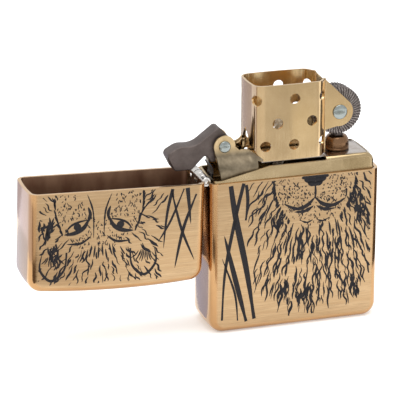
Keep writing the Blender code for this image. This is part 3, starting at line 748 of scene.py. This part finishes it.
def fur(ink, start, heading, length, width):
    """One lock: an S-shaped stroke that swings down as it goes."""
    across = Vector((-heading.y, heading.x)) * ink.jitter(0.16) * length
    middle = start + heading * length * 0.35 + across
    late = start + heading * length * 0.7 - across * 0.5 + Vector((0, -0.05 * length))
    end = start + heading * length + Vector((0, -0.15 * length))
    ink.stroke([tuple(start), tuple(middle), tuple(late), tuple(end)], width, root=0.3)


def in_mane(point):
    """Clear of the reeds on the left and of the ragged lower edge."""
    hem = 4.6 + 1.3 * math.sin(0.9 * point.x) + 0.05 * (point.x - 4) ** 2
    return point.x > -8.8 + 0.9 * math.sin(1.3 * point.y) and point.y > hem


def draw_mane(ink):
    """Locks in rings round the face, short and sparse at the cheeks, long and dense below the chin."""
    for ring in range(20):
        reach = 1.0 + 0.098 * ring
        count = 40 + 6 * ring
        for k in range(count):
            angle = 2 * math.pi * (k + ink.random.random()) / count
            spoke = Vector((math.cos(angle), math.sin(angle)))
            start = FACE + Vector((9.3 * spoke.x, 12.4 * spoke.y - 0.6)) * (reach + ink.jitter(0.05))
            above = spoke.y > 0.35
            if not in_mane(start) or ink.random.random() < (0.35 if above else 0.2):
                continue
            heading = (spoke + Vector((ink.jitter(0.2), 0.2 if above else -1.1))).normalized()
            length = ink.random.uniform(1.4, 4.8) * (0.8 if above else 1.0)
            fur(ink, start, heading, length, ink.random.uniform(0.2, 0.5))


def draw_shade(ink):
    """Fine flecks over the cheeks and forehead, and close dark locks where the mane lies deepest."""
    for _ in range(760):
        angle = ink.random.uniform(0, 2 * math.pi)
        reach = ink.random.uniform(0.16, 1.0) ** 0.5
        spot = FACE + Vector((9.0 * math.cos(angle), 12.2 * math.sin(angle) - 0.4)) * reach
        near_eye = min((spot - FACE - Vector((side * 4.7, 6.2))).length for side in (-1, 1)) < 2.0
        if near_eye or ink.random.random() < 0.45 - 0.35 * reach:
            continue
        turn = math.radians(ink.random.uniform(50, 130))
        ink.patch(spot, (ink.random.uniform(0.14, 0.4), ink.random.uniform(0.07, 0.13)), turn, 0.3)
    for x, z, spread in (
        (12.8, 29.5, 1.2),
        (14.8, 24.5, 1.0),
        (-3.8, 24.0, 0.9),
        (3.4, 20.0, 1.7),
        (8.6, 17.6, 1.2),
        (-1.8, 8.6, 1.3),
        (2.6, 8.0, 1.0),
        (13.2, 9.0, 1.0),
        (15.6, 43.0, 0.9),
        (14.0, 48.2, 1.0),
    ):
        for _ in range(11):
            start = Vector((x + 1.5 * ink.jitter(spread), z + 1.8 * ink.jitter(spread)))
            heading = Vector((ink.jitter(0.35), -1.0)).normalized()
            fur(ink, start, heading, ink.random.uniform(1.4, 3.2), ink.random.uniform(0.35, 0.65))


def make_artwork():
    ink = Drawing()
    draw_reeds(ink)
    draw_face(ink)
    draw_mane(ink)
    draw_shade(ink)
    ink.finish()


# ---------------- insert


def make_chamber():
    """The insert's shell, with its rolled lip and the low side under the cam."""
    half_width, half_depth, top = INSERT_HIGH
    wall, corner, foot = 0.45, 1.9, INSERT_LOW.z
    outer = tub(half_width, half_depth, top, foot, corner, LIP, 0)
    inner = tub(half_width - wall, half_depth - wall, top - wall, foot - 3, corner - wall, LIP - wall, 0)
    mouth = [(-30, -MOUTH_Y, 0), (MOUTH_X, -MOUTH_Y, 1.2), (MOUTH_X, MOUTH_Y, 1.2), (-30, MOUTH_Y, 0)]
    low_side = [
        (SLOT_END, LIP_LOW, 0.35),
        (-5.6, LIP_LOW, 2.5),
        (-16.1, 33.95, 1.0),
        (-25, 33.95, 0),
        (-25, 45, 0),
        (SLOT_END, 45, 0),
    ]
    openings = [
        extrude(rounded(mouth), "Z", LIP_LOW - 1, top + 2),
        extrude(rounded(low_side), "Y", -9, 9),
    ]
    bm = cut(outer, [inner, *openings])
    soften(bm, lambda edge: edge.calc_face_angle(0.0) > 1.0 and min(v.co.z for v in edge.verts) > 33, 0.07)
    finish_piece("chamber", bm, (CHAMBER,), "insert", nodes=["insert_shell"])


def make_deck():
    """The plate inside the insert's mouth, with holes for the wick and the flint tube."""
    start, step, end, wide, narrow = -7.2, SLOT_END + 0.1, MOUTH_X - 0.1, MOUTH_Y - 0.1, 4.0
    half = [(start, narrow, 0.6), (step, narrow, 0), (step, wide, 0), (end, wide, 1.1)]
    outline = [(x, -y, radius) for x, y, radius in half] + half[::-1]
    holes = [drill(1.55, (-1.5, 0, 0), "Z", (30, 40), 64), drill(2.15, (TUBE_X, 0, 0), "Z", (30, 40), 64)]
    plate = cut(extrude(rounded(outline), "Z", PLATE_LOW.z, PLATE_HIGH.z), holes)
    soften(plate, sharper_than(60), 0.07)
    finish_piece("deck_plate", plate, (PLATE,), "insert", nodes=["top_plate"])


def sheet_path():
    """The chimney sheet's middle line in plan, from one wheel ear round to the other, with its bends."""
    mid = SHEET / 2
    depth = 5.2 - mid
    ear = EAR_OUTER - mid
    left = -8.9 + mid
    right = 6.4
    front = [
        (14.5, -ear, 0),
        (right + 0.85, -ear, 0.55),
        (right - 0.75, -depth, 1.5),
        (-1.2, -depth - 0.35, 40),
        (left, -depth, 2.0),
    ]
    back = [(x, -y, radius) for x, y, radius in reversed(front)]
    bends = rounded([*front, (left - 0.4, 0, 25), *back], steps=0, closed=False)
    path = [bends[0]]
    for a, b in zip(bends, bends[1:]):
        parts = max(1, round((b - a).length / 0.4))
        path += [a.lerp(b, k / parts) for k in range(1, parts + 1)]
    return path


def distances(path):
    """How far along a path each of its points lies."""
    reach = [0.0]
    for a, b in zip(path, path[1:]):
        reach.append(reach[-1] + (b - a).length)
    return reach


def blank_outline(at, total):
    """The chimney's flat blank as (distance, z) points; at(x) is the distance of a place on the front."""
    def behind(x):
        return total - at(x)

    ear_start, ear_top, ear_foot = 7.6, 53.0, 42.1
    foot_start, foot_end, foot_low = -7.0, 5.0, 36.4
    nose = arc((WHEEL.x - 0.1, WHEEL.z - 0.1), 3.05, 42, -100, 20)
    ear = [(ear_start, ear_top), *nose, (ear_start, ear_foot)]
    middle = total / 2
    half_slot = [(2.3, 40.6), (1.95, 41.25), (1.3, 42.1), (0.7, 42.9), (0.0, 43.5)]
    rise = [(foot_start, 37.7), (-8.0, 38.6), (-8.6, 40.0)]
    outline = [(at(x), z) for x, z in reversed(ear)]
    outline += [(at(ear_start) + 0.3, CHIMNEY_TOP), (behind(ear_start) - 0.3, CHIMNEY_TOP)]
    outline += [(behind(x), z) for x, z in ear]
    outline += [(behind(ear_start) - 0.1, CHIMNEY_LOW), (behind(foot_end), CHIMNEY_LOW)]
    outline += [(behind(foot_end), foot_low), (behind(foot_start), foot_low)]
    outline += [(behind(x), z) for x, z in rise]
    outline += [(middle + 3.05, 40.15), (middle + 3.05, 38.4), (middle + 2.3, 38.4)]
    outline += [(middle + s, z) for s, z in half_slot]
    outline += [(middle - s, z) for s, z in reversed(half_slot[:-1])]
    outline += [(middle - 2.3, 40.3), *[(at(x), z) for x, z in reversed(rise)]]
    outline += [(at(foot_start), CHIMNEY_LOW), (at(ear_start) + 0.1, CHIMNEY_LOW)]
    return outline


def inside(point, outline):
    """Whether a point lies inside an outline."""
    crossings = 0
    for a, b in zip(outline, outline[1:] + outline[:1]):
        if (a[1] > point[1]) != (b[1] > point[1]):
            crossings += point[0] < a[0] + (point[1] - a[1]) * (b[0] - a[0]) / (b[1] - a[1])
    return crossings % 2 == 1


def punched(outline, holes, guides=(), loose=()):
    """Triangles of a flat outline with round (u, v, radius) holes, split along guides and at loose points."""
    steps = 32
    points = [Vector(p) for p in outline]
    edges = [(i, (i + 1) % len(points)) for i in range(len(points))]
    for u, v, radius in holes:
        first = len(points)
        points += arc((u, v), radius, 0, 360, steps)[:-1]
        edges += [(first + k, first + (k + 1) % steps) for k in range(steps)]
    for a, b in guides:
        edges.append((len(points), len(points) + 1))
        points += [Vector(a), Vector(b)]
    points += [Vector(p) for p in loose]
    verts, _, faces, *_ = delaunay_2d_cdt(points, edges, [], 0, 1e-5)
    kept = []
    for face in faces:
        centre = sum((verts[i] for i in face), Vector((0, 0))) / len(face)
        in_hole = any((centre - Vector((u, v))).length < radius * 0.98 for u, v, radius in holes)
        if inside(centre, outline) and not in_hole:
            kept.append(face)
    return verts, kept


def bent_sheet(name, flat, place, materials, bevel=0.05):
    """A sheet piece from flat triangles, each point moved by place, then given its thickness.

    The first material is the outside's and the last is that of the inside and the cut edges.
    """
    verts, faces = flat
    bm = bmesh.new()
    made = [bm.verts.new(place(v)) for v in verts]
    for face in faces:
        bm.faces.new([made[i] for i in face])
    bmesh.ops.delete(bm, geom=[v for v in bm.verts if not v.link_faces], context="VERTS")
    bmesh.ops.remove_doubles(bm, verts=bm.verts, dist=1e-4)
    bmesh.ops.recalc_face_normals(bm, faces=bm.faces)
    piece = finish_piece(name, bm, materials, "insert", 40, ["chimney_frame"])
    thick = piece.modifiers.new("thickness", "SOLIDIFY")
    thick.thickness = SHEET * MM
    thick.offset = 0
    thick.material_offset = len(materials) - 1
    edge = piece.modifiers.new("edges", "BEVEL")
    edge.width = bevel * MM
    edge.segments = 2
    edge.limit_method = "ANGLE"
    edge.angle_limit = math.radians(60)
    edge.harden_normals = True
    edge.material = len(materials) - 1
    return piece


def make_chimney():
    """The perforated wind screen, folded from one blank, with the ears that hold the wheel."""
    path = sheet_path()
    reach = distances(path)
    total = reach[-1]

    def at(x):
        for i in range(len(path) - 1):
            a, b = path[i], path[i + 1]
            if a.x >= x >= b.x:
                return reach[i] + (b - a).length * (a.x - x) / (a.x - b.x)
        return total / 2

    def place(flat):
        k = 0
        while k < len(reach) - 2 and reach[k + 1] < flat.x - 1e-6:
            k += 1
        plan = path[k].lerp(path[k + 1], (flat.x - reach[k]) / (reach[k + 1] - reach[k]))
        return (plan.x, plan.y, flat.y)

    holes = []
    for z, places in ((50.3, (-8.3, -0.2, 6.15)), (45.2, (-3.9, 3.7)), (40.4, (-6.5, -0.3, 6.15))):
        for x in places:
            holes += [(at(x), z, VENT_RADIUS), (total - at(x), z, VENT_RADIUS)]
    holes += [(at(WHEEL.x), WHEEL.z, AXLE_BORE), (total - at(WHEEL.x), WHEEL.z, AXLE_BORE)]
    guides = [((s, 30), (s, 60)) for s in reach[1:-1]]
    guides += [((-1, 36.77 + 0.8 * k), (total + 1, 36.77 + 0.8 * k)) for k in range(22)]
    outline = blank_outline(at, total)
    bent_sheet("chimney", punched(outline, holes, guides), place, (BRIGHT, INNER))


def smooth(share):
    """A share from 0 to 1, eased at both ends."""
    share = min(max(share, 0.0), 1.0)
    return share * share * (3 - 2 * share)


def plate_flare(x, z):
    """How far a cam plate bulges out: low down towards the insert's wall, and across to the chimney's."""
    down = 1.95 * smooth((39.1 - z) / 3.3)
    across = smooth((x - PLATE_SEAM[0]) / (PLATE_SEAM[1] - PLATE_SEAM[0])) * smooth(39.9 - z)
    return down + (2.12 - down) * across


def make_cam_plates():
    """The two plates that carry the cam: an eye round the rivet and a domed foot inside the insert."""
    centre = (CAM.x, CAM.z)
    dome = arc((-10.6, 36.0), 3.5, 104, 40, 12)
    seam = [(-6.7, 38.2), (-6.7, 37.3), (-8.0, 37.3), (-8.0, 31.5)]
    heel = (-15.5, 31.5)
    front = [heel, *arc(centre, EYE_RADIUS, 192, -4, 30), *dome, *seam]
    fillet = arc((-11.2, 42.1), 2.4, 265, 340, 10)
    neck = [(-8.9, 43.6), (-8.5, 43.6), (-8.5, 38.8), dome[-1]]
    back = [heel, *arc(centre, EYE_RADIUS, 192, 20, 28), *fillet, *neck, *seam]
    columns, rows, pitch = 36, 28, 0.3
    for side, outline, name in ((-1, front, "front"), (1, back, "back")):
        loose = []
        for i in range(columns):
            for k in range(rows):
                point = (-17.3 + i * pitch, 31.9 + k * pitch)
                clear = min((Vector(p) - Vector(point)).length for p in outline) > 0.2
                if clear and inside(point, outline) and (Vector(centre) - Vector(point)).length > 0.9:
                    loose.append(point)
        flat = punched(outline, [(*centre, CAM_BORE)], loose=loose)
        middle = EAR_OUTER - SHEET / 2

        def place(p, side=side, middle=middle):
            return (p.x, side * (middle + plate_flare(p.x, p.y)), p.y)

        bent_sheet(f"cam_plate_{name}", flat, place, (WORN, BRIGHT), 0.09)


# ---------------- striker, cam and rivets


def make_wheel():
    """The toothed wheel: fine slanted teeth that meet in a chevron, run out over both faces' rims."""
    radius = WHEEL_HIGH.x - WHEEL.x
    half = WHEEL_HIGH.y
    teeth, per_tooth, depth, slant = 48, 6, 0.3, 1.6

    def phase(angle, r, y):
        lean = slant * abs(y) / half + 0.5 * (radius - r)
        return (angle * teeth / (2 * math.pi) + lean) % 1

    # Each ring is (radius, distance in from the face, tooth share outwards, tooth share along the axle).
    face = [(AXLE_BORE, 0.34, 0, 0), (2.7, 0.34, 0, 0), (2.9, 0.2, 0, 0), (3.2, 0.14, 0, 0.2)]
    face += [(3.6, 0.1, 0, 0.7), (4.1, 0.06, 0, 1), (4.6, 0.04, 0.2, 1), (4.95, 0.06, 0.6, 1)]
    face += [(radius - 0.12, 0.13, 0.9, 0.8), (radius, 0.3, 1, 0)]
    rings = [(r, y - half, out, -along) for r, y, out, along in face]
    rings += [(radius, (half - 0.36) * (k / 6 - 1), 1, 0) for k in range(1, 12)]
    rings += [(r, half - y, out, along) for r, y, out, along in reversed(face)]

    def point(row, angle):
        r, y, out, along = row
        tooth = abs(2 * phase(angle, r, y) - 1)
        reach = r - depth * out * tooth
        side = y - 0.13 * along * tooth
        return (WHEEL.x + reach * math.cos(angle), side, WHEEL.z + reach * math.sin(angle))

    bm = surface(rings, teeth * per_tooth, point, ring_shaped=True)
    # Painted shade: the faces on the root side of each tooth take the dark second material.
    for face in bm.faces:
        middle = face.calc_center_median()
        across, up = middle.x - WHEEL.x, middle.z - WHEEL.z
        reach = math.hypot(across, up)
        turn = phase(math.atan2(up, across), reach, middle.y)
        if reach > 3.1 and abs(turn - 0.5) > 0.25:
            face.material_index = 1
    materials = (WHEEL_STEEL, WHEEL_SHADED_ROOTS)
    finish_piece("toothed_wheel", bm, materials, "striker", 35, ["striker_wheel"])


def rivet(name, centre, pin, head, node):
    """A pin across the insert with a domed head outside each ear."""
    seat = EAR_OUTER + 0.04
    half = [(pin, 0), (pin, seat), (head - 0.06, seat), (head, seat + 0.07), (head, seat + 0.14)]
    for k in range(1, 12):
        turn = math.pi / 2 * k / 12
        half.append((head * math.cos(turn), seat + 0.14 + 0.4 * math.sin(turn)))
    half.append((0.05, seat + 0.54))
    profile = [(r, -y) for r, y in reversed(half[1:])] + half[1:]
    bm = turned(profile, (centre.x, 0, centre.z), "Y", steps=48)
    finish_piece(name, bm, (ZINC,), "insert", smooth=40, nodes=[node])


def make_cam():
    """The lever that the lid's hinge side rests on, with its bore."""
    corners = [
        (-15.65, 44.6, 0.9),
        (-12.2, 40.9, 1.1),
        (-12.9, 37.9, 1.5),
        (-17.25, 36.95, 0.5),
        (-18.6, 38.75, 0.6),
        (-21.6, 35.75, 0.7),
        (-25.3, 35.75, 0.8),
        (-27.15, 39.4, 1.1),
        (-24.2, 41.0, 3.2),
        (-20.8, 40.75, 4.5),
    ]
    body = extrude(rounded(corners, 10), "Y", CAM_LOW.y, CAM_HIGH.y)
    soften(body, sharper_than(60), 0.28, 4)
    bm = cut(body, [drill(CAM_BORE, (CAM.x, 0, CAM.z))])
    finish_piece("cam_lever", bm, (DARK,), "cam", smooth=50, nodes=["cam"])


def make_tube():
    """The flint tube with its collar on the deck and its rounded mouth under the wheel."""
    low, top = TUBE_LOW.z, TUBE_HIGH.z
    outer, bore, collar, deck, shoulder = 2.05, 1.3, 2.6, 36.85, 37.9
    profile = [(outer, low), (outer, deck), (collar - 0.12, deck), (collar, deck + 0.12)]
    profile += [(collar, deck + 0.42), (collar - 0.07, deck + 0.5), (collar, deck + 0.58), (collar, shoulder)]
    for k in range(1, 9):
        angle = math.radians(8.5 * k)
        profile.append((collar - 1.0 * (1 - math.cos(angle)), shoulder + 2.0 * math.sin(angle)))
    profile += [(bore + 0.3, top - 0.03), (bore + 0.15, top), (bore + 0.05, top - 0.03), (bore, top - 0.1)]
    profile += [(bore, low)]
    bm = turned(profile, (TUBE_X, 0, 0), "Z", bored=True, steps=48)
    finish_piece("flint_barrel", bm, (TUBE,), "insert", nodes=["flint_tube"])


def make_flint_spring():
    """The coil spring under the flint, with a mesh of its own."""
    low, high = node_box("flint_spring")
    wire, turns, per_turn, sides = 0.17, 12, 28, 10
    coil = (high.y - low.y) / 2 - wire
    count = turns * per_turn
    bottom, top = low.z + wire, high.z - wire

    def point(k, turn):
        angle = 2 * math.pi * k / per_turn
        share = k / count
        rise = 0.04 * min(share, 0.08) / 0.08 + 0.92 * min(max(share - 0.08, 0) / 0.84, 1)
        rise += 0.04 * max(share - 0.92, 0) / 0.08
        out = Vector((math.cos(angle), math.sin(angle), 0))
        centre = Vector((TUBE_X, 0, bottom + (top - bottom) * rise)) + out * coil
        return centre + (out * math.cos(turn) + Vector((0, 0, 1)) * math.sin(turn)) * wire

    bm = surface(range(count + 1), sides, point)
    spring = finish_piece("flint_coil", bm, (SPRING,), "insert", 60, ["flint_spring"])
    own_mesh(spring)


# ---------------- hinge


def make_hinge():
    """Five knuckles shared between two leaves, and the rod through them."""
    outer, bore, half, edge = 1.0, 0.56, KNUCKLE_HALF, 0.08
    knuckle = [(bore, -half), (outer - edge, -half), (outer, -half + edge)]
    knuckle += [(r, -y) for r, y in reversed(knuckle)]
    for node, body, held in (("case_hinge_leaf", "case", (0, 2, 4)), ("lid_hinge_leaf", "lid", (1, 3))):
        for index in held:
            centre = (HINGE.x, (index - 2) * KNUCKLE_PITCH, HINGE.z)
            bm = turned(knuckle, centre, "Y", bored=True, steps=40)
            finish_piece(f"{node}_knuckle_{index}", bm, (HINGE_STEEL,), body, nodes=[node])
        make_leaf(node, body, held)
    rod = [(0.02, -LEAF_HALF), (0.3, -4.68), (0.46, -4.6), (0.5, -4.5)]
    rod += [(r, -y) for r, y in reversed(rod)]
    bm = turned(rod, (HINGE.x, 0, HINGE.z), "Y", steps=32)
    finish_piece("hinge_rod", bm, (HINGE_STEEL,), "case", nodes=["hinge_pin"])


def make_leaf(node, body, held):
    """A hinge leaf with a finger to each of its knuckles."""
    way = -1 if body == "case" else 1
    outer = -HALF_WIDTH + WALL - 0.35
    start, end, tip = HINGE.z + way * 1.15, HINGE.z + way * 9.2, HINGE.z + way * 0.1
    outline = [(-LEAF_HALF, end, 1.2), (-LEAF_HALF, start, 0.1)]
    for index in held:
        low, high = ((index - 2) * KNUCKLE_PITCH + side * KNUCKLE_HALF for side in (-1, 1))
        outline += [(low, start, 0.1), (low, tip, 0), (high, tip, 0), (high, start, 0.1)]
    if held[0] == 0:
        del outline[1:3]
        del outline[-1]
    else:
        outline.append((LEAF_HALF, start, 0.1))
    outline.append((LEAF_HALF, end, 1.2))
    leaf = extrude(rounded(outline, 4), "X", outer, outer + 0.3)
    bm = cut(leaf, [drill(0.58, (HINGE.x, 0, HINGE.z))])
    if body == "lid":
        open_lid(bm)
    finish_piece(f"{node}_plate", bm, (HINGE_STEEL,), body, nodes=[node])


# ---------------- wick, packing and felt


def make_wick():
    """A braided cotton wick: strands crossing both ways round a cord that sways down the insert."""
    low, high = node_box("wick")
    radius = high.y
    middle, height = -1.5, high.z - low.z
    around, along = 48, 420

    def point(k, angle):
        share = k / along
        sway = 1.1 * math.sin(2 * math.pi * share) * (1 - share)
        end = min(share, 1 - share) * height
        taper = math.sqrt(1 - (1 - min(1, (end + 0.08) / 0.6)) ** 2)
        left = math.cos(3 * angle + share * height * 2.4)
        right = math.cos(3 * angle - share * height * 2.4)
        reach = (radius - 0.3 + 0.24 * max(left, right) ** 2) * taper
        up = low.z + 0.02 + (height - 0.04) * share
        return (middle + sway + reach * math.cos(angle), reach * math.sin(angle), up)

    bm = surface(range(along + 1), around, point)
    finish_piece("braided_wick", bm, (COTTON,), "insert", 60, ["wick"])


def make_packing(name):
    """One wad of cotton wool: a rounded lump pressed into its corner of the insert, lumpy all over."""
    low, high = node_box(name)
    centre = (low + high) / 2
    size = (high - low) / 2
    around, rows, squareness = 96, 56, 3.2

    def point(row, angle):
        tilt = math.pi * row / rows - math.pi / 2
        flat = math.cos(tilt)
        way = Vector((flat * math.cos(angle), flat * math.sin(angle), math.sin(tilt)))
        reach = sum(abs(part) ** squareness for part in way) ** (-1 / squareness)
        spot = way * size * reach
        lump = noise.noise((centre + spot) * 0.45)
        tuft = noise.noise((centre + spot) * 1.9)
        return centre + spot * (0.9 + 0.07 * lump + 0.03 * tuft)

    bm = surface(range(1, rows), around, point)
    piece = finish_piece(f"{name}_wad", bm, (COTTON,), "insert", 60, [name])


def reach_to(outline, way):
    """How far the outline lies from the screw's axis along a direction."""
    start = Vector((TUBE_X, 0))
    far = start + way * 100
    for i, point in enumerate(outline):
        hit = intersect_line_line_2d(start, far, outline[i - 1], point)
        if hit:
            return (hit - start).length
    raise ValueError("the outline doesn't go round the axis")


def make_felt():
    """The felt pad that closes the insert's foot: soft edges, a fibrous face and the screw's hole."""
    low, high = node_box("felt_pad")
    hole = node_box("flint_screw")[1].x - TUBE_X + 0.3
    corners = [(low.x, low.y, 1), (high.x, low.y, 1), (high.x, high.y, 1), (low.x, high.y, 1)]
    outline = rounded(corners, steps=6)
    around = 240
    inner, outer = [], []
    for k in range(around):
        angle = 2 * math.pi * k / around
        way = Vector((math.cos(angle), math.sin(angle)))
        inner.append(Vector((TUBE_X, 0)) + way * hole)
        outer.append(Vector((TUBE_X, 0)) + way * reach_to(outline, way))
    shares = [0, 0.01, 0.03] + [0.03 + 0.94 * k / 24 for k in range(1, 25)] + [0.99, 1]
    rings = []
    for face, edge in ((high.z, -0.25), (low.z, 0.25)):
        for share in shares if edge < 0 else reversed(shares):
            rim = 1 if share in (0, 1) else 0.3 if share in (0.01, 0.99) else 0
            ring = []
            for near, far in zip(inner, outer):
                spot = near.lerp(far, share)
                dip = 0.1 * (1 + noise.noise(Vector((spot.x, spot.y, face)) * 0.8)) + abs(edge) * rim
                ring.append((spot.x, spot.y, face + math.copysign(dip, edge)))
            rings.append(ring)
    bm = loft(rings, ring_shaped=True)
    piece = finish_piece("felt_sole", bm, (FELT,), "insert", 60, ["felt_pad"])


def finish_cad_nodes():
    """CAD nodes whose shape is right take a finish."""
    finishes = {
        "cam_spring": SPRING,
        "cam_spring_rivet": ZINC,
        "flint": DARK,
        "flint_spring_tip": TUBE,
        "flint_screw": TUBE,
    }
    for name, material in finishes.items():
        node = frame["nodes"][name]
        node.data.materials.clear()
        node.data.materials.append(material)


# ---------------- stage


def lay_flat(name, outline, height, paint, glow, strength):
    """A sheet lying flat on the stage, with its paint and its own light."""
    mesh = bpy.data.meshes.new(name)
    mesh.from_pydata([(x, y, height) for x, y in outline], [], [tuple(range(len(outline)))])
    mesh.materials.append(paint.material)
    paint.put("Emission Color", (*glow, 1.0))
    paint.put("Emission Strength", strength)
    sheet = add_object(name, mesh)
    return sheet


def make_stage():
    """A white table in a white room, under one broad lamp."""
    size = 4.0
    corners = [(-size, -size), (size, -size), (size, size), (-size, size)]
    paper = Nodes("paper", (0.92, 0.92, 0.92), 0.9, 0.0)
    paper.put("Specular IOR Level", 0.1)
    lay_flat("floor", corners, 0, paper, (1.0, 1.0, 1.0), 0.25)
    make_cards()

    world = bpy.data.worlds.new("studio")
    world.use_nodes = True
    world.node_tree.nodes["Background"].inputs["Color"].default_value = (1.0, 1.0, 1.0, 1.0)
    world.node_tree.nodes["Background"].inputs["Strength"].default_value = 1.0
    bpy.context.scene.world = world

    lamp = bpy.data.lights.new("overhead", "AREA")
    lamp.shape = "RECTANGLE"
    lamp.size = 0.9
    lamp.size_y = 0.9
    lamp.energy = 5.0
    light = add_object("overhead", lamp)
    light.location = (-0.1, -0.1, 0.9)
    light.rotation_euler = (Vector((0, 0, 0.03)) - light.location).to_track_quat("-Z", "Y").to_euler()


def make_cards():
    """Toned cards lying on the table around the lighter. Only reflections show them."""
    middle = (-0.02, 0)
    for name, near, far, first, last, tone in (
        ("behind", 0.03, 0.4, 30, 92, (0.10, 0.09, 0.10)),
        ("beside", 0.001, 0.045, 92, 128, (0.50, 0.53, 0.74)),
        ("behind_left", 0.1, 0.4, 94, 122, (0.58, 0.55, 0.66)),
        ("lid_end", 0.045, 0.1, 122, 152, (0.80, 0.84, 1.02)),
        ("left_pale", 0.1, 0.4, 122, 196, (1.0, 1.04, 1.34)),
        ("left_dusk", 0.1, 0.4, 196, 209, (0.56, 0.48, 0.47)),
        ("left_warm", 0.1, 0.4, 209, 290, (0.95, 0.93, 0.90)),
        ("front_left", 0.055, 0.1, 200, 234, (0.18, 0.15, 0.13)),
        ("front_lid", 0.04, 0.1, 234, 259, (0.72, 0.62, 0.53)),
        ("right", 0.07, 0.4, -18, 24, (0.14, 0.12, 0.11)),
    ):
        rim = [arc(middle, radius, first, last, 8) for radius in (near, far)]
        make_card(name, rim[0] + rim[1][::-1], tone, 0.0004)
    front = [(0.018, -0.1), (0.12, -0.1), (0.12, -0.3), (0.046, -0.3)]
    make_card("front", front, (0.70, 0.69, 0.66), 0.0005)
    ears = [(0.0425, -0.112), (0.075, -0.112), (0.08, -0.15), (0.0525, -0.15)]
    make_card("ears", ears, (1.0, 0.98, 0.88), 0.0006)


def make_card(name, outline, tone, height):
    """A black sheet with a toned glow that no camera ray, shadow or diffuse light meets."""
    paint = Nodes(f"card_{name}", (0.0, 0.0, 0.0), 1.0, 0.0)
    paint.put("Specular IOR Level", 0.0)
    card = lay_flat(f"card_{name}", outline, height, paint, tone, 1.0)
    for ray in ("camera", "diffuse", "shadow", "transmission"):
        setattr(card, f"visible_{ray}", False)


def make_camera():
    """The view of the photograph."""
    data = bpy.data.cameras.new("camera")
    data.lens = 215.1
    data.sensor_width = 36
    data.clip_start = 0.01
    camera = add_object("camera", data)
    camera.location = (-0.1633, -0.4528, 0.1941)
    aim = Vector((-0.01922, 0, 0.02825)) - camera.location
    camera.rotation_euler = aim.to_track_quat("-Z", "Y").to_euler()
    bpy.context.scene.camera = camera


def main():
    bpy.context.scene.view_settings.view_transform = "Standard"
    make_camera()
    make_stage()
    make_shells()
    make_artwork()
    make_chamber()
    make_deck()
    make_chimney()
    make_cam_plates()
    make_wheel()
    rivet("wheel_axle", WHEEL, 0.7, 1.6, "wheel_rivet")
    rivet("cam_axle", CAM, 0.6, 1.27, "cam_rivet")
    make_cam()
    make_tube()
    make_flint_spring()
    make_hinge()
    make_wick()
    for place in ("left_lower", "left_upper", "right_lower", "right_upper"):
        make_packing(f"packing_{place}")
    make_felt()
    finish_cad_nodes()


main()
